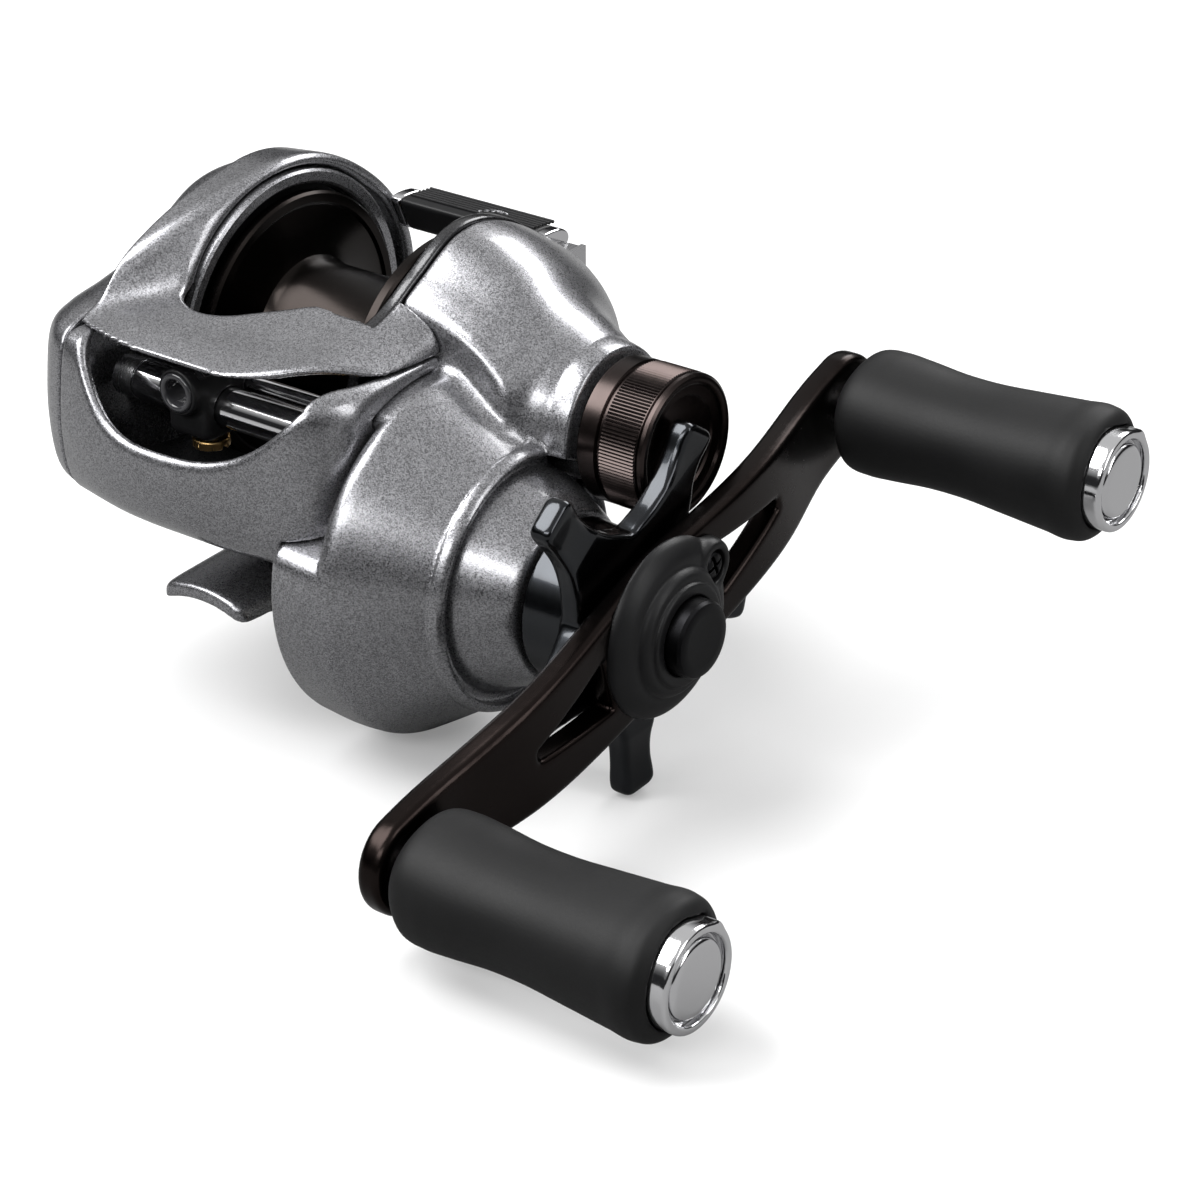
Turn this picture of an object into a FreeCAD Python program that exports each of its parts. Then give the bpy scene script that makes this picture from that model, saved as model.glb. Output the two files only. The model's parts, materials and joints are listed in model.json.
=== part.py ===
"""Low-profile baitcasting fishing reel, modelled as separate pieces in millimetres.

Frame of the part: +X runs along the spool axis towards the handle, -Y is forward (the way the line
leaves), +Z is up, away from the rod.  The origin is the centre of the reel foot's underside.
Each node is one file in parts/.
"""
import FreeCAD
import Part
import math
import os
from FreeCAD import Vector

# ---------------------------------------------------------------- driving dimensions (mm, degrees)
# spool and its shaft
FLANGE_ABOVE_FOOT = 4.0
FLANGE_RADIUS = 17.0
SPOOL_WIDTH = 22.0
FLANGE_THICKNESS = 1.2
ARBOR_RADIUS = 9.0
ARBOR_WALL = 0.8
SPOOL_SHAFT_RADIUS = 1.5
CROSS_PIN_RADIUS = 0.5
# gears
GEAR_MODULE = 0.4
PINION_TEETH = 14
DRIVE_TEETH = 87
WORM_MODULE = 0.5
IDLE_TEETH = 66
WORM_GEAR_TEETH = 15
BACKLASH = 0.12
MESH_ANGLE = 48.0
WORM_ANGLE = 125.1
DRIVE_SHAFT_RADIUS = 3.0
GEAR_FACE = 3.2
IDLE_FACE = 1.4
CLUTCH_TRAVEL = 2.0
# frame and foot
PLATE_THICKNESS = 1.6
RING_THICKNESS = 3.2
RING_WALL = 1.9
RUNNING_GAP = 0.4
FOOT_LENGTH = 62.0
FOOT_WIDTH = 14.4
FOOT_THICKNESS = 2.2
FOOT_SEAT_RADIUS = 14.0
RIVET_SPACING = 18.0
RIVET_RADIUS = 1.1
SHELL = 1.6
# level wind
WORM_RADIUS = 1.9
GUARD_TUBE_RADIUS = 2.4
GUIDE_ROD_RADIUS = 1.0
EYE_RADIUS = 1.5
EYE_LENGTH = 3.4
SNOUT_RADIUS = 2.8
GUIDE_REST_X = -2.5
GUIDE_HALF_WIDTH = 3.0
# drag housing, star and handle
LOBE_RADIUS = 21.6
DRAG_BOSS_RADIUS = 13.0
DRAG_BOSS_LENGTH = 25.65
CLUTCH_BEARING_RADIUS = 7.0
CLUTCH_BEARING_LENGTH = 6.0
SLEEVE_RADIUS = 4.6
STAR_HUB_RADIUS = 9.8
STAR_RADIUS = 22.4
STAR_ARMS = 5
STAR_ARM_THICKNESS = 3.0
STAR_FIRST_ARM = 57.0
STAR_GAP = 0.3
HANDLE_LENGTH = 84.0
HANDLE_ANGLE = 17.0
ARM_THICKNESS = 3.2
ARM_END_RADIUS = 5.8
ARM_MID_WIDTH = 15.6
ARM_SWEEP = 2.0
NUT_RADIUS = 4.5
NUT_LENGTH = 5.6
NUT_COVER_RADIUS = 10.6
NUT_COVER_SCREW_REACH = 8.8
KNOB_LENGTH = 33.6
KNOB_RADIUS = 8.0
KNOB_FLATTENING = 0.95
KNOB_CAP_RADIUS = 6.0
KNOB_BEARING_RADIUS = 3.6
KNOB_CAP_THICKNESS = 1.8
KNOB_PIN_RADIUS = 2.0
# cast control
CAP_RADIUS = 8.7
CAP_LENGTH = 9.2
CAP_SEAT_LENGTH = 22.65
CAP_THREAD_RADIUS = 7.0
SPOOL_BEARING_RADIUS = 5.0
DRIVE_BEARING_RADIUS = 5.0
DRIVE_BEARING_BOSS = 7.4
# thumb bar
THUMB_TRAVEL = 4.0
THUMB_BACK = 6.6
THUMB_DROP = 5.0
# palm side
PALM_DEPTH = 9.4
DIAL_RADIUS = 6.5
# small clearances
RUN = 0.05
FIT = 0.02
GAP = 0.3

# ---------------------------------------------------------------- places worked out from those
SPOOL_Y = 0.0
SPOOL_Z = FLANGE_RADIUS + FLANGE_ABOVE_FOOT
GEAR_CENTRES = GEAR_MODULE * (PINION_TEETH + DRIVE_TEETH) / 2
DRIVE_Y = SPOOL_Y - GEAR_CENTRES * math.cos(math.radians(MESH_ANGLE))
DRIVE_Z = SPOOL_Z - GEAR_CENTRES * math.sin(math.radians(MESH_ANGLE))
WORM_CENTRES = WORM_MODULE * (IDLE_TEETH + WORM_GEAR_TEETH) / 2
WORM_Y = DRIVE_Y + WORM_CENTRES * math.cos(math.radians(WORM_ANGLE))
WORM_Z = DRIVE_Z + WORM_CENTRES * math.sin(math.radians(WORM_ANGLE))
ROD_Y = WORM_Y + GUARD_TUBE_RADIUS + 1.3
ROD_Z = WORM_Z + GUARD_TUBE_RADIUS - 0.7
EYE_Z = WORM_Z + GUARD_TUBE_RADIUS + 0.3
HALF_SPOOL = SPOOL_WIDTH / 2
FLANGE_OUT = HALF_SPOOL + FLANGE_THICKNESS
PLATE_IN = FLANGE_OUT + RUNNING_GAP
PLATE_OUT = PLATE_IN + PLATE_THICKNESS
RING_OUT = PLATE_IN + RING_THICKNESS
RING_BORE = FLANGE_RADIUS + 0.6
RING_RADIUS = RING_BORE + RING_WALL
SEAM_X = PLATE_OUT + 0.2
COVER_X = SEAM_X + 0.15
DRAG_BOSS_END = COVER_X + DRAG_BOSS_LENGTH
CAP_START = COVER_X + CAP_SEAT_LENGTH
CLUTCH_PLATE_X = PLATE_OUT + 0.2
CLUTCH_PLATE_THICKNESS = 0.7
IDLE_X = PLATE_OUT + 1.1
WORM_END = IDLE_X + IDLE_FACE + 0.5
GEAR_X = IDLE_X + IDLE_FACE + 1.7
PINION_X = PLATE_OUT + 1.0
NECK_X = GEAR_X + GEAR_FACE + 1.8
PIN_X = FLANGE_OUT - 0.8
YOKE_X = NECK_X + 0.15
YOKE_THICKNESS = 1.4
COLLAR_X = YOKE_X + YOKE_THICKNESS + 0.15
PRESSURE_X = GEAR_X + GEAR_FACE - 0.4
POST_END = COLLAR_X + CLUTCH_TRAVEL + 1.4
SLEEVE_X = PRESSURE_X + 1.5
BEARING_X = DRAG_BOSS_END - 8.4
STAR_X = DRAG_BOSS_END + 0.3
STAR_ARM_X = CAP_START + CAP_LENGTH + STAR_GAP
STAR_END = STAR_ARM_X + STAR_ARM_THICKNESS
ARM_X = STAR_ARM_X + STAR_ARM_THICKNESS + STAR_GAP
NUT_X = ARM_X + ARM_THICKNESS + FIT
KNOB_X = ARM_X - ARM_SWEEP + ARM_THICKNESS + 0.6
KNOB_CAP_X = KNOB_X + KNOB_LENGTH + FIT
CAP_END = CAP_START + CAP_LENGTH
CAP_FLOOR = CAP_END - 2.6
SHAFT_RIGHT = CAP_FLOOR - 0.1
SHAFT_LEFT = -RING_OUT - 3.2
PALM_X = -RING_OUT - 3.2
THUMB_Y = SPOOL_Y + 17.4
THUMB_TOP = SPOOL_Z + 12.0
TAB_SPOT = (THUMB_Y + 3.4, THUMB_TOP - THUMB_DROP + 1.6)
TAB_ROOM = 2.3
KNOB_PLACES = [(DRIVE_Y + s * HANDLE_LENGTH / 2 * math.cos(math.radians(HANDLE_ANGLE)),
                DRIVE_Z + s * HANDLE_LENGTH / 2 * math.sin(math.radians(HANDLE_ANGLE))) for s in (-1, 1)]
COVER_SCREWS = [(SPOOL_Y + 12.0, SPOOL_Z + 11.0), (SPOOL_Y + 8.5, SPOOL_Z - 11.5), (SPOOL_Y - 7.5, SPOOL_Z + 11.6)]
POST_ANGLES = (MESH_ANGLE + 90, MESH_ANGLE - 90)
POST_REACH = 8.0

os.makedirs("parts", exist_ok=True)
X_AXIS = Vector(1, 0, 0)
Y_AXIS = Vector(0, 1, 0)
Z_AXIS = Vector(0, 0, 1)
FAR = 100.0


# ---------------------------------------------------------------- helpers
def save(name, *shapes):
    """Writes one node.  Every solid given stays a separate solid in the file."""
    found = [s for shape in shapes for s in shape.Solids]
    shape = found[0] if len(found) == 1 else Part.makeCompound(found)
    for solid in found:
        if not solid.isValid() or solid.Volume < 1e-3:
            print("CHECK", name, "valid", solid.isValid(), "volume", round(solid.Volume, 3))
    print(name, len(found), round(sum(s.Volume for s in found), 1))
    shape.exportStep("parts/" + name + ".step")


def rod(x0, x1, y, z, r):
    """A cylinder along X."""
    return Part.makeCylinder(r, x1 - x0, Vector(x0, y, z), X_AXIS)


def tube(x0, x1, y, z, r_out, r_in):
    """A hollow cylinder along X."""
    return rod(x0, x1, y, z, r_out).cut(rod(x0 - 1, x1 + 1, y, z, r_in))


def block(x0, x1, y0, y1, z0, z1):
    """A box between two corners."""
    return Part.makeBox(x1 - x0, y1 - y0, z1 - z0, Vector(x0, y0, z0))


def turned(points, y, z):
    """A solid of revolution about the X-parallel axis at (y, z); points are (x, radius)."""
    wire = Part.makePolygon([Vector(x, y, z + r) for x, r in points + points[:1]])
    return Part.Face(wire).revolve(Vector(0, y, z), X_AXIS, 360)


def prism_x(points, x0, x1):
    """A prism along X of a closed outline of (y, z) points."""
    wire = Part.makePolygon([Vector(x0, y, z) for y, z in points + points[:1]])
    return Part.Face(wire).extrude(Vector(x1 - x0, 0, 0))


def prism_z(points, z0, z1):
    """A prism along Z of a closed outline of (x, y) points."""
    wire = Part.makePolygon([Vector(x, y, z0) for x, y in points + points[:1]])
    return Part.Face(wire).extrude(Vector(0, 0, z1 - z0))


def rounded(solid, radius, wanted):
    """Fillets the edges that `wanted` picks, by a test on each edge."""
    edges = [e for e in solid.Edges if wanted(e)]
    return solid.makeFillet(radius, edges) if edges else solid


def along(edge, axis):
    """True if a straight edge runs along an axis."""
    if not isinstance(edge.Curve, Part.Line):
        return False
    return abs(edge.tangentAt(edge.FirstParameter).dot(axis)) > 0.999


def slab_prism(points, x0, x1, radius):
    """A prism along X whose long edges are rounded."""
    return rounded(prism_x(points, x0, x1), radius, lambda e: along(e, X_AXIS))


def polar(y, z, r, degrees):
    """The (y, z) point at an angle and radius from an axis."""
    a = math.radians(degrees)
    return y + r * math.cos(a), z + r * math.sin(a)


def turn_x(shape, y, z, degrees):
    """A copy of a shape turned about the X-parallel axis at (y, z)."""
    made = shape.copy()
    made.rotate(Vector(0, y, z), X_AXIS, degrees)
    return made


def biggest(shape):
    """The largest solid of a cut."""
    return max(shape.Solids, key=lambda s: s.Volume)


def gear(x0, face, y, z, module, teeth, bore, phase=0.0):
    """A spur gear along X with tapered teeth, thinned by the backlash."""
    pitch = module * teeth / 2
    tip, root = pitch + 0.85 * module, pitch - 1.1 * module
    half = math.pi / (2 * teeth) - BACKLASH / 2 / pitch
    taper = math.tan(math.radians(20))
    wide = half + taper * (pitch - root) / pitch * 0.8
    narrow = half - taper * (tip - pitch) / pitch
    points = []
    for i in range(teeth):
        centre = math.radians(phase) + i * 2 * math.pi / teeth
        for angle, r in ((-wide, root), (-half, pitch), (-narrow, tip), (narrow, tip), (half, pitch), (wide, root)):
            points.append(polar(y, z, r, math.degrees(centre + angle)))
    return prism_x(points, x0, x0 + face).cut(rod(x0 - 1, x0 + face + 1, y, z, bore))


def ring_spring(x0, x1, y, z, radius, wire, turns):
    """A coil spring along X, drawn as closed rings joined by a thin strip."""
    step = (x1 - x0 - 2 * wire) / (turns - 1)
    made = None
    for i in range(turns):
        ring = Part.makeTorus(radius, wire, Vector(x0 + wire + i * step, y, z), X_AXIS)
        made = ring if made is None else made.fuse(ring)
    strip = block(x0 + wire, x1 - wire, y - wire * 0.6, y + wire * 0.6, z + radius - wire * 0.6, z + radius + wire * 0.6)
    return made.fuse(strip)


# ---------------------------------------------------------------- the body's outer envelope
# The side outline of the body at the spool, as (y, z) from the spool axis.
BODY_OUTLINE = [(-37.0, -3.5), (-34.0, 4.5), (-27.0, 10.5), (-16.0, 16.2), (-5.0, 20.4), (5.0, 21.2),
                (14.0, 17.6), (21.0, 11.0), (24.5, 3.0), (23.0, -6.0), (16.5, -13.4), (5.0, -18.0),
                (-10.0, -17.8), (-24.0, -16.4), (-33.0, -12.5)]
OUTLINE_CENTRE = (-6.0, 0.0)
OUTLINE_HALF = (30.7, 18.9)
# How the outline shrinks along X: (x, share in y, share in z)
MID_SECTIONS = [(-RING_OUT - 3.0, 0.93, 0.97), (-10.0, 0.985, 1.0), (0.0, 1.0, 1.0), (9.0, 0.985, 1.0),
                (SEAM_X + 1.6, 0.93, 0.96), (SEAM_X + 6.0, 0.76, 0.80)]
PALM_SECTIONS = [(PALM_X, 0.925, 0.965), (PALM_X - 3.5, 0.88, 0.93), (PALM_X - 6.5, 0.76, 0.83),
                 (PALM_X - PALM_DEPTH, 0.52, 0.60)]
BACK_SECTIONS = [(COVER_X - 4.0, 0.93, 0.97), (COVER_X, 0.90, 0.94), (COVER_X + 6, 0.80, 0.83),
                 (COVER_X + 11, 0.63, 0.68), (COVER_X + 15, 0.44, 0.52)]


def outline_wire(x, share_y, share_z, inset):
    """The body outline in the plane at x, scaled about its centre and moved inwards by inset."""
    cy, cz = OUTLINE_CENTRE
    ky = share_y - inset / OUTLINE_HALF[0]
    kz = share_z - inset / OUTLINE_HALF[1]
    pts = [Vector(x, SPOOL_Y + cy + (y - cy) * ky, SPOOL_Z + cz + (z - cz) * kz) for y, z in BODY_OUTLINE]
    curve = Part.BSplineCurve()
    curve.interpolate(pts, PeriodicFlag=True)
    return Part.Wire(curve.toShape())


def envelope(sections, inset=0.0, end_inset=0.0):
    """A smooth closed solid through scaled outlines; end_inset moves the last one back."""
    last = len(sections) - 1
    wires = []
    for i, (x, a, b) in enumerate(sections):
        back = math.copysign(end_inset, sections[0][0] - sections[last][0]) if i == last else 0.0
        wires.append(outline_wire(x + back, a, b, inset))
    return Part.makeLoft(wires, True, False)


# ---------------------------------------------------------------- root: frame and foot
def frame_plate(x0, x1, hole, grow=0.0):
    """One side plate of the frame: a disc round the spool with a nose that carries the level wind."""
    nose = [(WORM_Y - 3.6 - grow, WORM_Z - 5.5 - grow), (WORM_Y - 3.6 - grow, WORM_Z + 3.4 + grow),
            (ROD_Y, ROD_Z + 3.0 + grow), (SPOOL_Y - 9, SPOOL_Z + 15.5 + grow), (SPOOL_Y - 9, SPOOL_Z - 15.5 - grow),
            (WORM_Y + 2, WORM_Z - 12 - grow)]
    plate = rod(x0, x1, SPOOL_Y, SPOOL_Z, RING_RADIUS + grow).fuse(slab_prism(nose, x0, x1, 1.2))
    plate = plate.common(block(x0 - 1, x1 + 1, -FAR, FAR, FOOT_THICKNESS - grow, FAR))
    return plate.cut(rod(x0 - 1, x1 + 1, SPOOL_Y, SPOOL_Z, hole))


def build_frame():
    """The one-piece frame: ring plate, gear plate, the floor between them and the two bridges."""
    reach = PLATE_IN + 0.4
    left = frame_plate(-RING_OUT, -PLATE_IN, RING_BORE)
    right = frame_plate(PLATE_IN, PLATE_OUT, 1.0)
    right = right.fuse(rod(PLATE_IN, PLATE_OUT, DRIVE_Y, DRIVE_Z, DRIVE_BEARING_BOSS))
    floor = tube(-reach, reach, SPOOL_Y, SPOOL_Z, RING_RADIUS, RING_BORE)
    floor = floor.common(block(-reach, reach, -FAR, FAR, FOOT_THICKNESS, SPOOL_Z - 11.0))
    rear = slab_prism([(SPOOL_Y + 14.9, SPOOL_Z - 11.4), (SPOOL_Y + 18.4, SPOOL_Z - 9.6), (SPOOL_Y + 18.6, SPOOL_Z - 5.6),
                       (SPOOL_Y + 16.9, SPOOL_Z - 6.0)], -reach, reach, 0.4)
    front = slab_prism([(WORM_Y - 2.6, WORM_Z - 9.6), (WORM_Y + 7.0, WORM_Z - 11.0), (WORM_Y + 7.0, WORM_Z - 9.4),
                        (WORM_Y - 2.6, WORM_Z - 8.0)], -reach, reach, 0.4)
    made = left.fuse([right, floor, rear, front])
    for x0, x1 in ((-RING_OUT - 1, -PLATE_IN + 1), (PLATE_IN - 1, PLATE_OUT + 1)):
        made = made.cut(rod(x0, x1, WORM_Y, WORM_Z, GUARD_TUBE_RADIUS + RUN))
        made = made.cut(rod(x0, x1, ROD_Y, ROD_Z, GUIDE_ROD_RADIUS + FIT))
    made = made.cut(rod(PLATE_IN - 1, PLATE_OUT + 1, SPOOL_Y, SPOOL_Z, SPOOL_BEARING_RADIUS + FIT))
    made = made.cut(rod(PLATE_IN - 1, PLATE_OUT + 1, DRIVE_Y, DRIVE_Z, DRIVE_BEARING_RADIUS + FIT))
    for y, z in COVER_SCREWS:
        made = made.cut(rod(PLATE_IN - 1, PLATE_OUT + 1, y, z, 0.8 + FIT))
    for angle in POST_ANGLES:
        y, z = polar(SPOOL_Y, SPOOL_Z, POST_REACH, angle)
        made = made.cut(rod(PLATE_IN - 1, PLATE_OUT + 1, y, z, 0.9 + FIT))
    for side in (-1, 1):
        made = made.cut(Part.makeCylinder(RIVET_RADIUS + FIT, 20, Vector(0, side * RIVET_SPACING / 2, 0), Z_AXIS))
    return biggest(made)


def build_foot():
    """The foot: a long tapering strip, concave underneath, with two rivet holes."""
    half, tip = FOOT_WIDTH / 2, FOOT_WIDTH / 2 - 1.0
    end, mid = FOOT_LENGTH / 2, FOOT_LENGTH / 2 - 14
    plan = [(-tip, -end), (tip, -end), (half, -mid), (half, mid), (tip, end), (-tip, end), (-half, mid), (-half, -mid)]
    strip = prism_z(plan, -4, FOOT_THICKNESS)
    crown = Part.makeCylinder(FOOT_SEAT_RADIUS + FOOT_THICKNESS, FOOT_LENGTH, Vector(0, -end, -FOOT_SEAT_RADIUS),
                              Y_AXIS)
    seat = Part.makeCylinder(FOOT_SEAT_RADIUS, FOOT_LENGTH + 2, Vector(0, -end - 1, -FOOT_SEAT_RADIUS), Y_AXIS)
    foot = rounded(strip, 1.6, lambda e: along(e, Z_AXIS)).common(crown).cut(seat)
    for side in (-1, 1):
        foot = foot.cut(Part.makeCylinder(RIVET_RADIUS + FIT, 20, Vector(0, side * RIVET_SPACING / 2, -5), Z_AXIS))
    return foot


def build_rivets():
    """Two rivets that hold the foot to the frame's floor, headed above it."""
    made = []
    for side in (-1, 1):
        y = side * RIVET_SPACING / 2
        top = SPOOL_Z - math.sqrt(RING_BORE ** 2 - y ** 2) - 0.3
        made.append(Part.makeCylinder(RIVET_RADIUS, top - 0.4, Vector(0, y, 0.4), Z_AXIS))
    return made


# ---------------------------------------------------------------- root: hood and line guard
WINDOW_TOP = SPOOL_Z + 8.2
WINDOW_BOTTOM = SPOOL_Z - 1.6
OPENING_FRONT = SPOOL_Y - 19.6
CORNER_BACK = SPOOL_Y - 10.6


def handle_side_room():
    """The space that the gear cover takes beyond the seam."""
    room = block(SEAM_X, FAR, CORNER_BACK, FAR, -FAR, FAR)
    return room.fuse(rod(SEAM_X, FAR, DRIVE_Y, DRIVE_Z, LOBE_RADIUS + 0.2))


def build_hood_and_guard():
    """The hood (top cover) and the line guard (front cover with the window)."""
    shell = envelope(MID_SECTIONS).cut(envelope(MID_SECTIONS, SHELL, SHELL))
    shell = shell.cut(frame_plate(-RING_OUT - GAP, -PLATE_IN + GAP, 1.0, 0.15))
    shell = shell.cut(frame_plate(PLATE_IN - GAP, PLATE_OUT + GAP, 1.0, 0.15))
    shell = shell.cut(rod(-RING_OUT - 0.5, PLATE_IN + 0.2, SPOOL_Y, SPOOL_Z, RING_RADIUS + 0.15))
    shell = shell.cut(rod(-FAR, -RING_OUT - 0.4, SPOOL_Y, SPOOL_Z, RING_BORE))
    shell = shell.cut(rod(PLATE_IN - GAP, SEAM_X + 0.1, DRIVE_Y, DRIVE_Z, DRIVE_BEARING_BOSS + 0.15))
    shell = shell.cut(block(-FAR, PLATE_OUT + GAP, WORM_Y - 2.8, WORM_Y + 7.2, WORM_Z - 11.2, WORM_Z - 7.8))
    shell = shell.cut(handle_side_room())
    shell = shell.common(block(-FAR, FAR, -FAR, FAR, FOOT_THICKNESS + 1.0, FAR))
    split = [(-FAR, WINDOW_TOP), (CORNER_BACK + 0.4, WINDOW_TOP), (CORNER_BACK + 0.4, -FAR)]
    above = prism_x(split + [(FAR, -FAR), (FAR, FAR), (-FAR, FAR)], -FAR, FAR)
    below = prism_x([(y - 0.2, z - 0.2) for y, z in split] + [(-FAR, -FAR)], -FAR, FAR)
    window = rounded(block(-PLATE_IN + 0.2, PLATE_IN - 0.2, -FAR, WORM_Y + 1, WINDOW_BOTTOM, WINDOW_TOP + 4), 3.0,
                     lambda e: along(e, Y_AXIS))
    opening = rounded(block(-PLATE_IN + GAP, PLATE_IN - GAP, OPENING_FRONT, FAR, SPOOL_Z, FAR), 4.0,
                      lambda e: along(e, Z_AXIS))
    low_middle = block(-PLATE_IN + GAP, FAR, CORNER_BACK, FAR, -FAR, SPOOL_Z)
    rail_end = block(0, FAR, SPOOL_Y + 9.5, FAR, -FAR, FAR)
    guide_room = block(-PLATE_IN + 0.2, PLATE_IN - 0.2, WORM_Y - 6.4, ROD_Y + 3.0, -FAR,
                       EYE_Z + SNOUT_RADIUS + 0.5)
    hood = shell.common(above).cut([opening, low_middle, rail_end, guide_room])
    guard = shell.common(below).cut(window)
    return biggest(hood), biggest(guard)


# ---------------------------------------------------------------- root: gear cover
def cover_solid(inset):
    """The gear cover's outer form, or the same form moved inwards."""
    base = COVER_X - (4 if inset else 0)
    r = LOBE_RADIUS - inset
    boss = DRAG_BOSS_RADIUS - inset
    end = DRAG_BOSS_END - inset
    lobe = turned([(base, 0), (base, r - 0.5), (COVER_X + 4, r), (COVER_X + 8, r - 1.2), (COVER_X + 11, r - 3.8),
                   (COVER_X + 17.4 - inset, boss + 1.0), (COVER_X + 18.4 - inset, boss), (end - 4.6, boss - 0.4),
                   (end - 3.6, boss - 2.1), (end, boss - 3.2), (end, 0)], DRIVE_Y, DRIVE_Z)
    back = envelope(BACK_SECTIONS, inset, inset)
    back = back.common(block(base, FAR, CORNER_BACK + 0.2 + inset, FAR, -FAR, FAR))
    rim = CAP_START - 0.8
    cap_boss = turned([(base, 0), (base, 12.6 - inset), (COVER_X + 14, 12.4 - inset), (rim - 4 - inset, 9.6 - inset),
                       (rim - inset, 9.0 - inset), (rim - inset, 0)], SPOOL_Y, SPOOL_Z)
    return lobe.fuse([back, cap_boss])


def build_gear_cover():
    """The gear-side cover: lobe round the drive gear, drag boss, back shell and cast-control boss."""
    made = cover_solid(0.0).cut(cover_solid(SHELL))
    made = made.cut(block(COVER_X - 30, COVER_X, -FAR, FAR, -FAR, FAR))
    seat_end = DRAG_BOSS_END
    made = made.fuse(tube(BEARING_X - 0.8, seat_end, DRIVE_Y, DRIVE_Z, 8.6, CLUTCH_BEARING_RADIUS + FIT))
    made = made.cut(rod(BEARING_X - 0.8, seat_end + 2, DRIVE_Y, DRIVE_Z, CLUTCH_BEARING_RADIUS + FIT))
    made = made.fuse(tube(CAP_START - 6.2, CAP_FLOOR - 0.8, SPOOL_Y, SPOOL_Z, CAP_THREAD_RADIUS,
                          SPOOL_BEARING_RADIUS + FIT))
    made = made.cut(rod(CAP_START - 6.2, CAP_END, SPOOL_Y, SPOOL_Z, SPOOL_BEARING_RADIUS + FIT))
    tab_y, tab_z = TAB_SPOT
    made = made.cut(block(COVER_X - 1, CLUTCH_PLATE_X + 1.1, tab_y - 5, FAR, tab_z - THUMB_TRAVEL - TAB_ROOM, tab_z + TAB_ROOM))
    made = made.cut(rod(COVER_X - 1, WORM_END + 0.6, WORM_Y, WORM_Z, WORM_GEAR_TEETH * WORM_MODULE / 2 + 1.2))
    for y, z in COVER_SCREWS:
        made = made.fuse(rod(COVER_X, COVER_X + 5.4, y, z, 1.9).common(cover_solid(0.0)))
        made = made.cut(rod(COVER_X - 1, FAR, y, z, 0.8 + FIT))
        made = made.cut(rod(COVER_X + 4.4, FAR, y, z, 1.5 + RUN))
    return biggest(made)


def build_cover_screws():
    """Three screws that hold the gear cover to the frame's gear plate."""
    made = []
    for y, z in COVER_SCREWS:
        screw = rod(PLATE_IN + 0.1, COVER_X + 4.5, y, z, 0.8).fuse(rod(COVER_X + 4.45, COVER_X + 5.7, y, z, 1.5))
        slot = block(COVER_X + 5.2, COVER_X + 6, y - 1.0, y + 1.0, z - 0.2, z + 0.2)
        made.append(screw.cut([slot, turn_x(slot, y, z, 90)]))
    return made


# ---------------------------------------------------------------- level wind
def build_line_guide():
    """The line guide's body: it slides on the guard tube and the guide rod and holds the eye."""
    x0, x1 = GUIDE_REST_X - GUIDE_HALF_WIDTH, GUIDE_REST_X + GUIDE_HALF_WIDTH
    body = slab_prism([(WORM_Y - 3.8, WORM_Z - 3.4), (WORM_Y + 3.4, WORM_Z - 3.4), (ROD_Y + 2.0, ROD_Z - 1.0),
                       (ROD_Y + 2.0, ROD_Z + 2.0), (ROD_Y - 1.4, ROD_Z + 2.6), (WORM_Y - 3.8, WORM_Z + 3.0)],
                      x0, x1, 0.9)
    front = WORM_Y - 5.4
    snout = Part.makeCylinder(SNOUT_RADIUS, WORM_Y - front, Vector(GUIDE_REST_X, front, EYE_Z), Y_AXIS)
    body = body.fuse(snout)
    trough = Part.makeCylinder(EYE_RADIUS + 0.5, 30, Vector(GUIDE_REST_X, WORM_Y - 4.0, EYE_Z), Y_AXIS)
    trough = trough.fuse(block(GUIDE_REST_X - 2.0, GUIDE_REST_X + 2.0, WORM_Y - 3.6, 0, EYE_Z, EYE_Z + 10))
    body = body.cut(trough)
    body = body.cut(Part.makeCylinder(EYE_RADIUS + 0.9, 30, Vector(GUIDE_REST_X, front - 1, EYE_Z), Y_AXIS))
    body = body.cut(rod(x0 - 1, x1 + 1, WORM_Y, WORM_Z, GUARD_TUBE_RADIUS + RUN))
    body = body.cut(rod(x0 - 1, x1 + 1, ROD_Y, ROD_Z, GUIDE_ROD_RADIUS + RUN))
    body = body.cut(Part.makeCylinder(1.2 + FIT, 20, Vector(GUIDE_REST_X, WORM_Y, WORM_Z - 20), Z_AXIS))
    return biggest(body)


def build_guide_ring():
    """The hard ring that the line runs through."""
    front = WORM_Y - 5.6
    ring = Part.makeCylinder(EYE_RADIUS + 0.9 - FIT, EYE_LENGTH, Vector(GUIDE_REST_X, front, EYE_Z), Y_AXIS)
    ring = ring.cut(Part.makeCylinder(EYE_RADIUS, EYE_LENGTH + 2, Vector(GUIDE_REST_X, front - 1, EYE_Z), Y_AXIS))
    room = rod(-FAR, FAR, WORM_Y, WORM_Z, GUARD_TUBE_RADIUS + RUN)
    return biggest(ring.cut(room))


def build_guard_tube():
    """The slotted tube round the worm: the pawl reaches in through the slot underneath."""
    made = tube(-PLATE_IN + 0.05, PLATE_IN - 0.05, WORM_Y, WORM_Z, GUARD_TUBE_RADIUS, WORM_RADIUS + 0.15)
    return made.cut(block(-PLATE_IN + 1.6, PLATE_IN - 1.6, WORM_Y - 1.35, WORM_Y + 1.35, WORM_Z - 5, WORM_Z))


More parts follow.
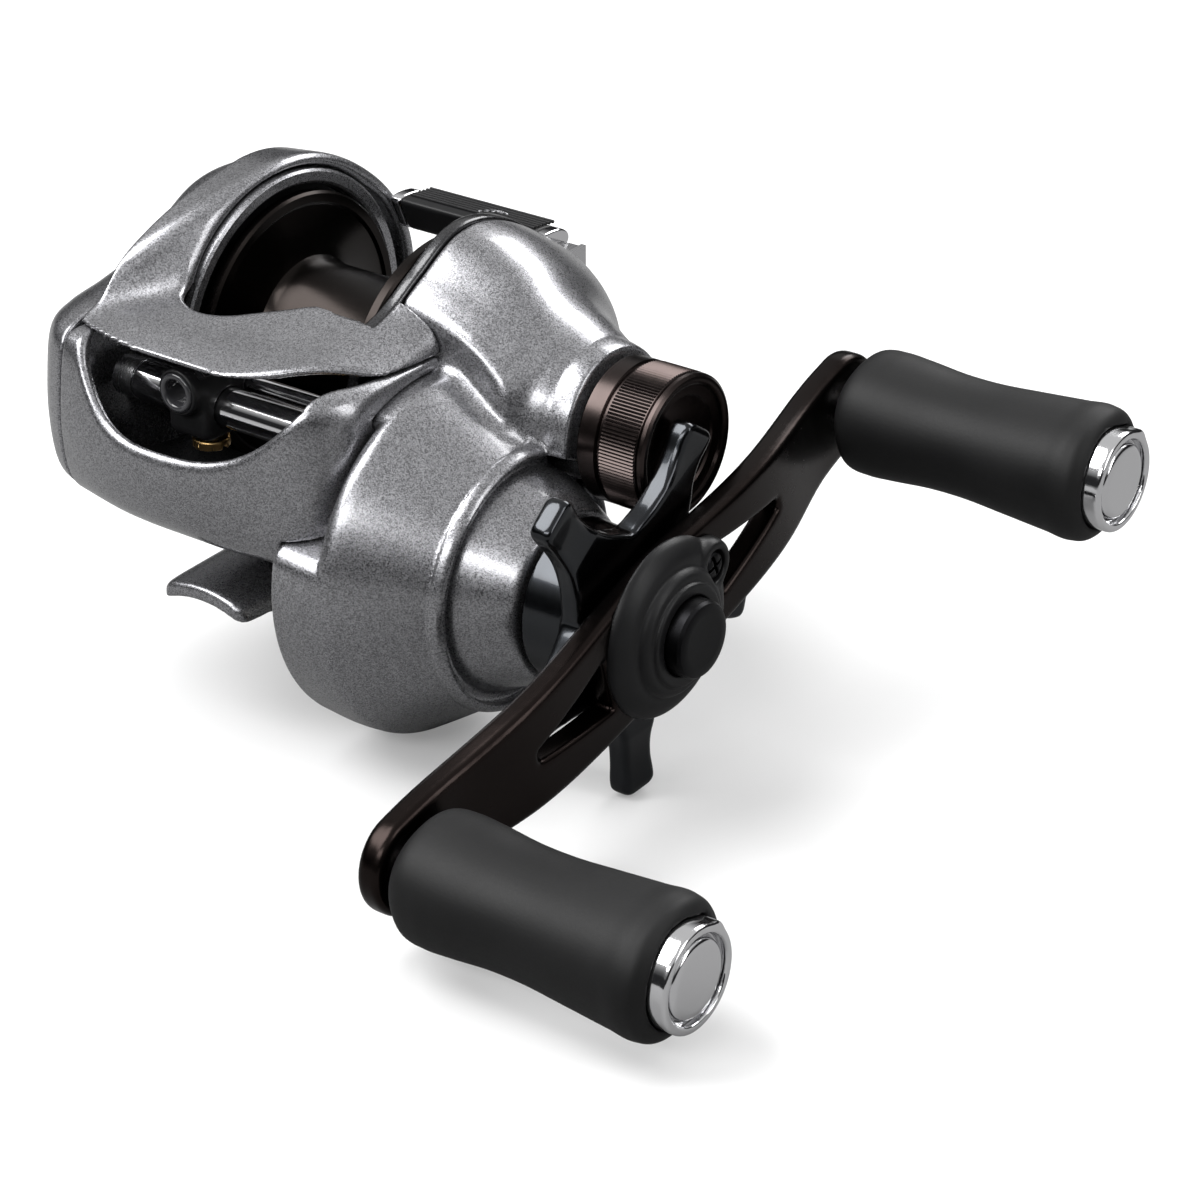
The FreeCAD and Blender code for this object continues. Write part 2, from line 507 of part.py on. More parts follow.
def build_worm():
    """The worm shaft: a turned bar with shallow crossing grooves near the ends left plain."""
    made = rod(-RING_OUT + 0.2, WORM_END, WORM_Y, WORM_Z, WORM_RADIUS)
    count = 9
    for i in range(count):
        x = -10.0 + i * 20.0 / (count - 1)
        for tilt in (-24, 24):
            cut = tube(-0.35, 0.35, 0, 0, WORM_RADIUS + 1, WORM_RADIUS - 0.45)
            cut.rotate(Vector(0, 0, 0), Z_AXIS, tilt)
            cut.translate(Vector(x, WORM_Y, WORM_Z))
            made = made.cut(cut)
    return biggest(made)


# ---------------------------------------------------------------- spool
def build_spool():
    """The spool: arbor tube, two dished flanges, a middle web and a hub on the shaft."""
    rim = FLANGE_RADIUS
    left = turned([(-FLANGE_OUT, ARBOR_RADIUS - ARBOR_WALL), (-FLANGE_OUT, rim - 0.5), (-FLANGE_OUT + 0.4, rim),
                   (-HALF_SPOOL + 0.2, rim), (-HALF_SPOOL + 0.2, rim - 1.6), (-HALF_SPOOL, rim - 2.0),
                   (-HALF_SPOOL + 1.2, ARBOR_RADIUS), (0, ARBOR_RADIUS), (0, ARBOR_RADIUS - ARBOR_WALL)], SPOOL_Y, SPOOL_Z)
    right = left.mirror(Vector(0, 0, 0), X_AXIS)
    web = tube(-0.8, 0.8, SPOOL_Y, SPOOL_Z, ARBOR_RADIUS - 0.2, SPOOL_SHAFT_RADIUS + FIT)
    hub = tube(-5.0, 5.0, SPOOL_Y, SPOOL_Z, 3.0, SPOOL_SHAFT_RADIUS + FIT)
    return left.fuse([right, web, hub])


def build_spool_shaft():
    """The spool shaft, from the palm-side bearing to the cast control, drilled for its cross pin."""
    made = rod(SHAFT_LEFT, SHAFT_RIGHT, SPOOL_Y, SPOOL_Z, SPOOL_SHAFT_RADIUS)
    return made.cut(Part.makeCylinder(CROSS_PIN_RADIUS + FIT, 10, Vector(PIN_X, SPOOL_Y, SPOOL_Z - 5), Z_AXIS))


def build_brake_weights():
    """Four sliding brake weights on short spokes of the brake hub."""
    made = []
    for i in range(4):
        weight = block(-11.6, -9.4, SPOOL_Y - 1.1, SPOOL_Y + 1.1, SPOOL_Z + 3.2, SPOOL_Z + 5.6)
        made.append(turn_x(weight, SPOOL_Y, SPOOL_Z, 45 + 90 * i))
    return made


# ---------------------------------------------------------------- clutch
def build_pinion():
    """The pinion: a slotted nose that drives the cross pin, long teeth, a yoke neck and a tail."""
    nose_x = PIN_X - 0.6
    made = rod(nose_x, PINION_X + 0.2, SPOOL_Y, SPOOL_Z, 2.5)
    made = made.fuse(gear(PINION_X, NECK_X - PINION_X, SPOOL_Y, SPOOL_Z, GEAR_MODULE, PINION_TEETH, 1.0,
                          MESH_ANGLE + 180 + 180 / PINION_TEETH))
    made = made.fuse(rod(NECK_X - 0.2, COLLAR_X + 0.2, SPOOL_Y, SPOOL_Z, 2.0))
    made = made.fuse(rod(COLLAR_X, COLLAR_X + 1.0, SPOOL_Y, SPOOL_Z, 2.9))
    made = made.fuse(rod(COLLAR_X + 0.8, CAP_START - 3.8, SPOOL_Y, SPOOL_Z, 2.0))
    made = made.cut(rod(nose_x - 1, CAP_START, SPOOL_Y, SPOOL_Z, SPOOL_SHAFT_RADIUS + RUN))
    slot = CROSS_PIN_RADIUS + 0.1
    return made.cut(block(nose_x - 1, PIN_X + slot, SPOOL_Y - slot, SPOOL_Y + slot, SPOOL_Z - 5, SPOOL_Z + 5))


def build_yoke():
    """The clutch yoke: a flat fork round the pinion's neck with an eye on each post."""
    made = None
    for angle in POST_ANGLES:
        y, z = polar(SPOOL_Y, SPOOL_Z, POST_REACH, angle)
        eye = rod(YOKE_X, YOKE_X + YOKE_THICKNESS, y, z, 2.0)
        made = eye if made is None else made.fuse(eye)
    bar = block(YOKE_X, YOKE_X + YOKE_THICKNESS, SPOOL_Y - POST_REACH, SPOOL_Y + POST_REACH, SPOOL_Z - 1.6, SPOOL_Z + 4.2)
    made = made.fuse(turn_x(bar, SPOOL_Y, SPOOL_Z, POST_ANGLES[1]))
    neck = rod(YOKE_X - 1, YOKE_X + 3, SPOOL_Y, SPOOL_Z, 2.0 + 0.1)
    mouth = block(YOKE_X - 1, YOKE_X + 3, SPOOL_Y - 2.1, SPOOL_Y + 2.1, SPOOL_Z - 6, SPOOL_Z)
    made = made.cut([neck, turn_x(mouth, SPOOL_Y, SPOOL_Z, POST_ANGLES[1])])
    for angle in POST_ANGLES:
        y, z = polar(SPOOL_Y, SPOOL_Z, POST_REACH, angle)
        made = made.cut(rod(YOKE_X - 1, YOKE_X + 3, y, z, 0.9 + RUN))
    return biggest(made)


def build_posts():
    """Two headed posts that guide the yoke."""
    made = []
    for angle in POST_ANGLES:
        y, z = polar(SPOOL_Y, SPOOL_Z, POST_REACH, angle)
        made.append(rod(PLATE_IN + 0.1, POST_END, y, z, 0.9).fuse(rod(POST_END - 0.5, POST_END + 0.3, y, z, 1.8)))
    return made


def build_yoke_springs():
    """The two springs that push the yoke back into gear."""
    made = []
    for angle in POST_ANGLES:
        y, z = polar(SPOOL_Y, SPOOL_Z, POST_REACH, angle)
        made.append(ring_spring(YOKE_X + YOKE_THICKNESS + 0.05, POST_END - 0.55, y, z, 1.4, 0.2, 6))
    return made


# ---------------------------------------------------------------- thumb bar

def thumb_section(inset):
    """The side outline of the thumb bar."""
    y, z = THUMB_Y, THUMB_TOP
    return [(y + inset, z - inset), (y + THUMB_BACK - 1.0, z - 0.6 - inset), (y + THUMB_BACK - inset, z - 2.0),
            (y + THUMB_BACK - 1.2 - inset, z - THUMB_DROP + 1.4), (y + 3.4, z - THUMB_DROP + inset),
            (y + 1.9 + inset, z - THUMB_DROP + inset)]


def build_thumb_bar():
    """The clutch bar across the back of the frame."""
    end = PLATE_IN - 0.8
    return slab_prism(thumb_section(0.0), -end + 1.6, end - 1.6, 0.7)


def build_thumb_trims():
    """The bright end pieces of the thumb bar."""
    end = PLATE_IN - 0.8
    return [slab_prism(thumb_section(0.2), x0, x0 + 1.6, 0.5) for x0 in (-end, end - 1.6)]


def build_clutch_plate():
    """The sliding plate that joins the thumb bar to the clutch, with a tab that passes the frame's rim."""
    x0, x1 = CLUTCH_PLATE_X, CLUTCH_PLATE_X + CLUTCH_PLATE_THICKNESS
    tab_y, tab_z = TAB_SPOT
    arm = prism_x([(tab_y + 1.6, tab_z - 1.4), (tab_y + 1.6, tab_z + 1.4), (SPOOL_Y + 3.4, SPOOL_Z + 9.0),
                   (SPOOL_Y - 5.0, SPOOL_Z + 9.0), (SPOOL_Y - 5.0, SPOOL_Z - 3.6), (SPOOL_Y + 5.0, SPOOL_Z - 3.6),
                   (SPOOL_Y + 5.6, SPOOL_Z + 3.6)], x0, x1)
    slot = rod(x0 - 1, x1 + 1, SPOOL_Y, SPOOL_Z, 2.9).fuse(rod(x0 - 1, x1 + 1, SPOOL_Y, SPOOL_Z + THUMB_TRAVEL, 2.9))
    slot = slot.fuse(block(x0 - 1, x1 + 1, SPOOL_Y - 2.9, SPOOL_Y + 2.9, SPOOL_Z, SPOOL_Z + THUMB_TRAVEL))
    tab = block(PLATE_IN - 0.78, x1, tab_y - 1.0, tab_y + 1.4, tab_z - 1.2, tab_z + 1.2)
    made = arm.cut(slot)
    for y, z in [polar(SPOOL_Y, SPOOL_Z, POST_REACH, a) for a in POST_ANGLES] + COVER_SCREWS:
        room = block(x0 - 1, x1 + 1, y - 2.3, y + 2.3, z - 2.3, z + THUMB_TRAVEL + 2.3)
        made = made.cut(room)
    return biggest(made.fuse(tab))


# ---------------------------------------------------------------- drive train and drag
def build_drive_gear():
    """The drive gear: fine teeth, a pocket for the drag washer and a bore that runs on the shaft."""
    made = gear(GEAR_X, GEAR_FACE, DRIVE_Y, DRIVE_Z, GEAR_MODULE, DRIVE_TEETH, DRIVE_SHAFT_RADIUS + RUN, MESH_ANGLE)
    pocket = tube(GEAR_X + 1.4, GEAR_X + GEAR_FACE + 1, DRIVE_Y, DRIVE_Z, 15.4, DRIVE_SHAFT_RADIUS - 1)
    return made.cut(pocket)


def build_drive_shaft():
    """The drive shaft from the frame's bearing out to the handle nut, with a flange under the gear."""
    made = rod(PLATE_IN + 0.2, NUT_X + NUT_LENGTH - 0.8, DRIVE_Y, DRIVE_Z, DRIVE_SHAFT_RADIUS)
    return made.fuse(rod(IDLE_X + IDLE_FACE + 0.7, GEAR_X - 0.2, DRIVE_Y, DRIVE_Z, 6.0))


def build_star():
    """The star drag: a hub with five paddle arms that pass in front of the cast control cap."""
    made = turned([(STAR_X, 6.4), (STAR_X, STAR_HUB_RADIUS - 0.5), (STAR_X + 0.5, STAR_HUB_RADIUS),
                   (STAR_X + 3.6, STAR_HUB_RADIUS), (STAR_END - 1.6, STAR_HUB_RADIUS - 1.2),
                   (STAR_END, STAR_HUB_RADIUS - 3.0), (STAR_END, DRIVE_SHAFT_RADIUS + RUN),
                   (STAR_X + 1.6, DRIVE_SHAFT_RADIUS + RUN), (STAR_X + 1.6, 6.4)], DRIVE_Y, DRIVE_Z)
    half = [(5.0, 4.8), (9.4, 4.8), (13.6, 2.5), (17.5, 2.1), (STAR_RADIUS - 1.6, 2.4), (STAR_RADIUS, 1.3)]
    outline = [(DRIVE_Y + y, DRIVE_Z - z) for y, z in half] + [(DRIVE_Y + y, DRIVE_Z + z) for y, z in half[::-1]]
    for i in range(STAR_ARMS):
        arm = prism_x(outline, STAR_ARM_X, STAR_END)
        made = made.fuse(turn_x(arm, DRIVE_Y, DRIVE_Z, STAR_FIRST_ARM + i * 360 / STAR_ARMS))
    return made.cut(rod(STAR_X - 1, STAR_END + 5, DRIVE_Y, DRIVE_Z, DRIVE_SHAFT_RADIUS + RUN))


# ---------------------------------------------------------------- handle
def arm_outline(side):
    """Half of the arm's outline along +Y from the drive axis, before it is turned to its angle."""
    reach = HANDLE_LENGTH / 2
    mid = ARM_MID_WIDTH / 2
    return [(DRIVE_Y, DRIVE_Z + side * mid), (DRIVE_Y + 8, DRIVE_Z + side * mid),
            (DRIVE_Y + 24, DRIVE_Z + side * (mid - 1.2)), (DRIVE_Y + 33, DRIVE_Z + side * ARM_END_RADIUS),
            (DRIVE_Y + reach, DRIVE_Z + side * ARM_END_RADIUS)]


def build_handle_arm():
    """The swept handle arm with two pointed windows, a round end at each knob and the shaft hole."""
    reach = HANDLE_LENGTH / 2
    low = ARM_X - ARM_SWEEP
    made = None
    for turn in (0, 180):
        half = prism_x(arm_outline(1) + arm_outline(-1)[::-1], low - 1, ARM_X + ARM_THICKNESS + 1)
        half = half.fuse(rod(low - 1, ARM_X + ARM_THICKNESS + 1, DRIVE_Y + reach, DRIVE_Z, ARM_END_RADIUS))
        bend, flat = STAR_RADIUS + 0.8, reach - ARM_END_RADIUS
        side_view = [(ARM_X, -1), (ARM_X, bend), (low, flat), (low, reach + 10), (low + ARM_THICKNESS, reach + 10),
                     (low + ARM_THICKNESS, flat), (ARM_X + ARM_THICKNESS, bend - 8), (ARM_X + ARM_THICKNESS, -1)]
        wire = Part.makePolygon([Vector(x, DRIVE_Y + y, DRIVE_Z - 20) for x, y in side_view + side_view[:1]])
        profile = Part.Face(wire).extrude(Vector(0, 0, 40))
        half = half.common(profile)
        window = prism_x([(DRIVE_Y + 10.5, DRIVE_Z + 3.4), (DRIVE_Y + 10.5, DRIVE_Z - 3.4), (DRIVE_Y + 23.0, DRIVE_Z - 0.7),
                          (DRIVE_Y + 23.0, DRIVE_Z + 0.7)], low - 2, ARM_X + 6)
        half = half.cut(rounded(window, 0.6, lambda e: along(e, X_AXIS)))
        half = turn_x(half, DRIVE_Y, DRIVE_Z, turn)
        made = half if made is None else made.fuse(half)
    made = turn_x(made, DRIVE_Y, DRIVE_Z, HANDLE_ANGLE)
    made = made.cut(rod(low - 2, ARM_X + 8, DRIVE_Y, DRIVE_Z, DRIVE_SHAFT_RADIUS + FIT))
    for y, z in KNOB_PLACES:
        made = made.cut(rod(low - 2, ARM_X + 8, y, z, KNOB_PIN_RADIUS + FIT))
    return biggest(made)


def build_nut():
    """The handle nut: a round-headed nut with a hexagon underneath."""
    hexagon = [polar(DRIVE_Y, DRIVE_Z, NUT_RADIUS + 0.4, 30 + 60 * i) for i in range(6)]
    made = prism_x(hexagon, NUT_X, NUT_X + NUT_LENGTH - 2.4)
    made = made.fuse(rod(NUT_X + NUT_LENGTH - 2.6, NUT_X + NUT_LENGTH, DRIVE_Y, DRIVE_Z, NUT_RADIUS))
    return made.cut(rod(NUT_X - 1, NUT_X + NUT_LENGTH - 0.8 + FIT, DRIVE_Y, DRIVE_Z, DRIVE_SHAFT_RADIUS + FIT))


SCREW_SPOT = polar(DRIVE_Y, DRIVE_Z, NUT_COVER_SCREW_REACH, HANDLE_ANGLE + 20)


def build_nut_cover():
    """The stepped cap round the handle nut, with a lobe for its retaining screw."""
    made = turned([(NUT_X, 5.4), (NUT_X, NUT_COVER_RADIUS), (NUT_X + 1.5, NUT_COVER_RADIUS - 0.4), (NUT_X + 1.9, 7.8),
                   (NUT_X + 3.2, 7.2), (NUT_X + 3.6, 5.4)], DRIVE_Y, DRIVE_Z)
    y, z = SCREW_SPOT
    made = made.fuse(rod(NUT_X, NUT_X + 1.8, y, z, 3.0))
    made = made.cut(rod(NUT_X - 1, NUT_X + 9, DRIVE_Y, DRIVE_Z, 5.4))
    return made.cut(rod(NUT_X + 0.6, NUT_X + 9, y, z, 1.9))


def build_nut_cover_screw():
    """The small cross-recess screw beside the handle nut."""
    y, z = SCREW_SPOT
    made = rod(NUT_X + 0.62, NUT_X + 2.0, y, z, 1.8)
    slot = block(NUT_X + 1.4, NUT_X + 3, y - 1.2, y + 1.2, z - 0.25, z + 0.25)
    return made.cut([slot, turn_x(slot, y, z, 90)])


def build_knob(y, z):
    """A knob: swollen at both ends, waisted between, slightly flattened, bored for its pin and bearings."""
    sections = [(0.0, 0.74), (0.05, 0.88), (0.13, 0.93), (0.21, 0.915), (0.38, 0.865), (0.50, 0.865), (0.66, 0.91),
                (0.84, 0.975), (0.93, 1.0), (0.98, 0.93), (1.0, 0.84)]
    wires = []
    for place, share in sections:
        curve = Part.Ellipse(Vector(0, 0, 0), KNOB_RADIUS * share, KNOB_RADIUS * share * KNOB_FLATTENING)
        edge = curve.toShape()
        edge.rotate(Vector(0, 0, 0), Y_AXIS, 90)
        edge.rotate(Vector(0, 0, 0), X_AXIS, 90 + HANDLE_ANGLE)
        edge.translate(Vector(KNOB_X + place * KNOB_LENGTH, y, z))
        wires.append(Part.Wire(edge))
    made = Part.makeLoft(wires, True, False)
    made = made.cut(rod(KNOB_X - 1, KNOB_X + KNOB_LENGTH - 3.0, y, z, KNOB_PIN_RADIUS + 0.15))
    made = made.cut(rod(KNOB_X - 1, KNOB_X + 2.2, y, z, KNOB_BEARING_RADIUS + FIT))
    return made.cut(rod(KNOB_X + KNOB_LENGTH - 7.0, KNOB_X + KNOB_LENGTH - 3.0, y, z, KNOB_BEARING_RADIUS + FIT))


def build_knob_pin(y, z):
    """The pin that a knob turns on, riveted through the arm, with a retaining head."""
    low = ARM_X - ARM_SWEEP
    end = KNOB_X + KNOB_LENGTH - 3.6
    made = rod(low + 0.3, end, y, z, KNOB_PIN_RADIUS)
    return made.fuse(rod(end - 1.0, end, y, z, 3.0))


# ---------------------------------------------------------------- cast control
def build_cast_cap():
    """The cast control cap: a knurled barrel with a dished face, threaded over the cover's boss."""
    made = turned([(CAP_START, CAP_THREAD_RADIUS + RUN), (CAP_START, CAP_RADIUS - 0.3), (CAP_START + 0.4, CAP_RADIUS - 0.1),
                   (CAP_START + 4.2, CAP_RADIUS - 0.1), (CAP_START + 4.4, CAP_RADIUS - 0.5), (CAP_START + 4.7, CAP_RADIUS),
                   (CAP_END - 0.9, CAP_RADIUS), (CAP_END, CAP_RADIUS - 0.6), (CAP_END, CAP_RADIUS - 1.4),
                   (CAP_END - 0.5, CAP_RADIUS - 2.0), (CAP_END - 0.7, 0), (CAP_FLOOR, 0),
                   (CAP_FLOOR, CAP_THREAD_RADIUS + RUN)], SPOOL_Y, SPOOL_Z)
    made = made.cut(rod(CAP_START - 1, CAP_START + 1.3, SPOOL_Y, SPOOL_Z, CAP_THREAD_RADIUS + 0.9))
    return made.cut(rod(CAP_FLOOR - 1, CAP_FLOOR + 0.9, SPOOL_Y, SPOOL_Z, 4.6 + FIT))


# ---------------------------------------------------------------- palm side
DIAL_SPOT = (SPOOL_Y - 1.0, SPOOL_Z + 1.0)
LOCK_SPOT = (SPOOL_Y - 15.0, SPOOL_Z - 6.5)
PALM_END = PALM_X - PALM_DEPTH


def build_palm_cover():
    """The palm-side cover: a shallow dome with a round recess for the brake dial."""
    made = envelope(PALM_SECTIONS).cut(envelope(PALM_SECTIONS, SHELL, SHELL))
    made = made.cut(block(PALM_X, PALM_X + 20, -FAR, FAR, -FAR, FAR))
    y, z = DIAL_SPOT
    made = made.fuse(rod(PALM_END, PALM_END + 3.4, y, z, DIAL_RADIUS + 1.6).common(envelope(PALM_SECTIONS)))
    made = made.cut(rod(PALM_END - 1, PALM_END + 2.2, y, z, DIAL_RADIUS + 0.3))
    made = made.cut(rod(PALM_END - 1, PALM_END + 9, y, z, 1.5 + RUN))
    y, z = LOCK_SPOT
    made = made.cut(rod(PALM_END - 5, PALM_X - 0.1, y, z, 1.5 + RUN))
    return biggest(made)


def build_brake_dial():
    """The brake dial: a ribbed disc on a short spindle in the palm cover."""
    y, z = DIAL_SPOT
    made = rod(PALM_END + 0.3, PALM_END + 2.0, y, z, DIAL_RADIUS)
    for i in range(24):
        notch = rod(PALM_END - 1, PALM_END + 3, y, z + DIAL_RADIUS + 0.2, 0.5)
        made = made.cut(turn_x(notch, y, z, i * 15))
    made = made.fuse(rod(PALM_END + 1.8, PALM_END + 6.0, y, z, 1.5))
    return made


def build_lock_lever():
    """The palm cover's locking lever: a small flat lever on a spindle, on the cover's outside."""
    y, z = LOCK_SPOT
    x = PALM_END - 0.5
    spindle = rod(x, PALM_X + 2.0, y, z, 1.5)
    blade = slab_prism([(y - 2.2, z - 2.2), (y + 2.2, z - 2.2), (y + 1.6, z + 7.0), (y - 1.6, z + 7.0)], x - 1.2, x + 0.2, 1.0)
    return spindle.fuse(blade)


def build_brake_case():
    """The brake case: a plate inside the frame's ring with a hub for the palm-side spool bearing."""
    made = rod(-RING_OUT + 0.2, -RING_OUT + 1.6, SPOOL_Y, SPOOL_Z, RING_BORE - 0.15)
    made = made.fuse(rod(-RING_OUT - 4.8, -RING_OUT + 0.4, SPOOL_Y, SPOOL_Z, 5.4))
    made = made.cut(rod(-RING_OUT - 3.8, -RING_OUT + 5, SPOOL_Y, SPOOL_Z, 4.0 + FIT))
    return made


def build_all():
    """Builds and saves every node."""
    hood, guard = build_hood_and_guard()
    frame = build_frame()
    save("frame", frame)
    save("reel_foot", build_foot())
    save("foot_rivets", *build_rivets())
    save("hood", biggest(hood.cut(frame)))
    save("line_guard", guard)
    save("gear_side_cover", build_gear_cover())
    save("cover_screws", *build_cover_screws())
    save("guide_rod", rod(-RING_OUT + 0.2, PLATE_OUT - 0.1, ROD_Y, ROD_Z, GUIDE_ROD_RADIUS))
    save("worm_guard_tube", build_guard_tube())
    bushes = [(-RING_OUT + 0.3, -PLATE_IN - 0.1), (PLATE_IN + 0.1, PLATE_OUT - 0.1)]
    save("worm_bushes", *[tube(a, b, WORM_Y, WORM_Z, GUARD_TUBE_RADIUS, WORM_RADIUS + RUN) for a, b in bushes])
    save("worm_shaft", build_worm())
    save("worm_gear", gear(IDLE_X, IDLE_FACE, WORM_Y, WORM_Z, WORM_MODULE, WORM_GEAR_TEETH, WORM_RADIUS + FIT,
                           WORM_ANGLE + 180 + 180 / WORM_GEAR_TEETH))
    save("line_guide", build_line_guide())
    save("guide_ring", build_guide_ring())
    pawl_low = WORM_Z - GUARD_TUBE_RADIUS - 1.9
    save("pawl", Part.makeCylinder(1.2, WORM_Z - WORM_RADIUS - 0.1 - pawl_low, Vector(GUIDE_REST_X, WORM_Y, pawl_low),
                                   Z_AXIS))
    save("pawl_cap", Part.makeCylinder(2.2, 1.2, Vector(GUIDE_REST_X, WORM_Y, pawl_low - 1.22), Z_AXIS))
    save("spool", build_spool())
    save("spool_shaft", build_spool_shaft())
    save("spool_cross_pin", Part.makeCylinder(CROSS_PIN_RADIUS, 4.6, Vector(PIN_X, SPOOL_Y, SPOOL_Z - 2.3), Z_AXIS))
    save("brake_hub", tube(-FLANGE_OUT, -7.0, SPOOL_Y, SPOOL_Z, 3.1, SPOOL_SHAFT_RADIUS + FIT))
    save("brake_weights", *build_brake_weights())
    save("pinion", build_pinion())
    save("spool_and_pinion_bearings",
         tube(PLATE_IN + 0.1, PLATE_OUT - 0.1, SPOOL_Y, SPOOL_Z, SPOOL_BEARING_RADIUS, 2.5 + RUN),
         tube(CAP_START - 6.0, CAP_START - 4.2, SPOOL_Y, SPOOL_Z, SPOOL_BEARING_RADIUS, 2.0 + RUN),
         tube(CAP_START + 1.0, CAP_START + 3.4, SPOOL_Y, SPOOL_Z, SPOOL_BEARING_RADIUS, SPOOL_SHAFT_RADIUS + RUN))
    save("clutch_yoke", build_yoke())
    save("yoke_posts", *build_posts())
    save("yoke_springs", *build_yoke_springs())
    save("thumb_bar", build_thumb_bar())
    save("thumb_bar_trims", *build_thumb_trims())
    save("clutch_plate", build_clutch_plate())
    save("drive_gear", build_drive_gear())
    save("idle_gear", gear(IDLE_X, IDLE_FACE, DRIVE_Y, DRIVE_Z, WORM_MODULE, IDLE_TEETH, DRIVE_SHAFT_RADIUS + FIT,
                           WORM_ANGLE))
    save("drive_shaft", build_drive_shaft())
    save("drag_washer", tube(GEAR_X + 1.45, PRESSURE_X - 0.05, DRIVE_Y, DRIVE_Z, 15.1, DRIVE_SHAFT_RADIUS + 0.3))
    save("drag_pressure_plate", tube(PRESSURE_X, PRESSURE_X + 1.4, DRIVE_Y, DRIVE_Z, 15.1, DRIVE_SHAFT_RADIUS + FIT))
    save("drag_sleeve", tube(SLEEVE_X, STAR_X + 0.2, DRIVE_Y, DRIVE_Z, SLEEVE_RADIUS, DRIVE_SHAFT_RADIUS + FIT))
    bearing_end = BEARING_X + CLUTCH_BEARING_LENGTH
    save("anti_reverse_bearing", tube(BEARING_X, bearing_end, DRIVE_Y, DRIVE_Z, CLUTCH_BEARING_RADIUS,
                                      SLEEVE_RADIUS + RUN))
    save("drive_shaft_bearings",
         tube(PLATE_IN + 0.1, PLATE_OUT - 0.1, DRIVE_Y, DRIVE_Z, DRIVE_BEARING_RADIUS, DRIVE_SHAFT_RADIUS + RUN),
         tube(bearing_end + 0.1, DRAG_BOSS_END - 0.1, DRIVE_Y, DRIVE_Z, CLUTCH_BEARING_RADIUS, SLEEVE_RADIUS + RUN))
    save("drag_spring_washers",
         *[tube(STAR_X + 0.25 + i * 0.65, STAR_X + 0.8 + i * 0.65, DRIVE_Y, DRIVE_Z, 5.8, DRIVE_SHAFT_RADIUS + FIT)
           for i in range(2)])
    save("star_drag", build_star())
    save("handle_arm", build_handle_arm())
    save("handle_nut", build_nut())
    save("nut_cover", build_nut_cover())
    save("nut_cover_screw", build_nut_cover_screw())
    for name, (y, z) in zip(("front", "rear"), KNOB_PLACES):
        save("knob_pin_" + name, build_knob_pin(y, z))
        save("knob_" + name, build_knob(y, z))
        save("knob_cap_" + name, rod(KNOB_CAP_X, KNOB_CAP_X + KNOB_CAP_THICKNESS, y, z, KNOB_CAP_RADIUS))
        save("knob_bearings_" + name,
             tube(KNOB_X + 0.2, KNOB_X + 2.15, y, z, KNOB_BEARING_RADIUS, KNOB_PIN_RADIUS + RUN),
             tube(KNOB_X + KNOB_LENGTH - 6.95, KNOB_X + KNOB_LENGTH - 4.8, y, z, KNOB_BEARING_RADIUS, KNOB_PIN_RADIUS + RUN))
    save("cast_control_cap", build_cast_cap())
    save("cast_cap_seal", tube(CAP_START + 0.1, CAP_START + 1.25, SPOOL_Y, SPOOL_Z, CAP_THREAD_RADIUS + 0.85,
                               CAP_THREAD_RADIUS + RUN))
    save("cast_cap_shim", rod(CAP_FLOOR + 0.02, CAP_FLOOR + 0.88, SPOOL_Y, SPOOL_Z, 4.6))
    save("palm_cover", build_palm_cover())
    save("brake_case", build_brake_case())
    save("brake_drum", tube(-RING_OUT + 1.62, -8.6, SPOOL_Y, SPOOL_Z, 7.3, 6.3))
    save("spool_bearing_palm_side",
         tube(-RING_OUT - 3.0, -RING_OUT - 0.6, SPOOL_Y, SPOOL_Z, 4.0, SPOOL_SHAFT_RADIUS + RUN))
    save("brake_dial", build_brake_dial())
    save("lock_lever", build_lock_lever())


if __name__ == "__main__":
    build_all()
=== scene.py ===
"""Low-profile baitcasting reel: the visual model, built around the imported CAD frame.

Every length in this file is in millimetres until a mesh is made; meshes are in metres.
+X runs along the spool axis to the handle, -Y is forward, +Z is up.
"""
import json
import logging
import math
from dataclasses import dataclass
from enum import Enum
from typing import Callable, Iterable, Optional, Sequence, Union

import bmesh
import bpy
import numpy as np
from mathutils import Matrix, Vector


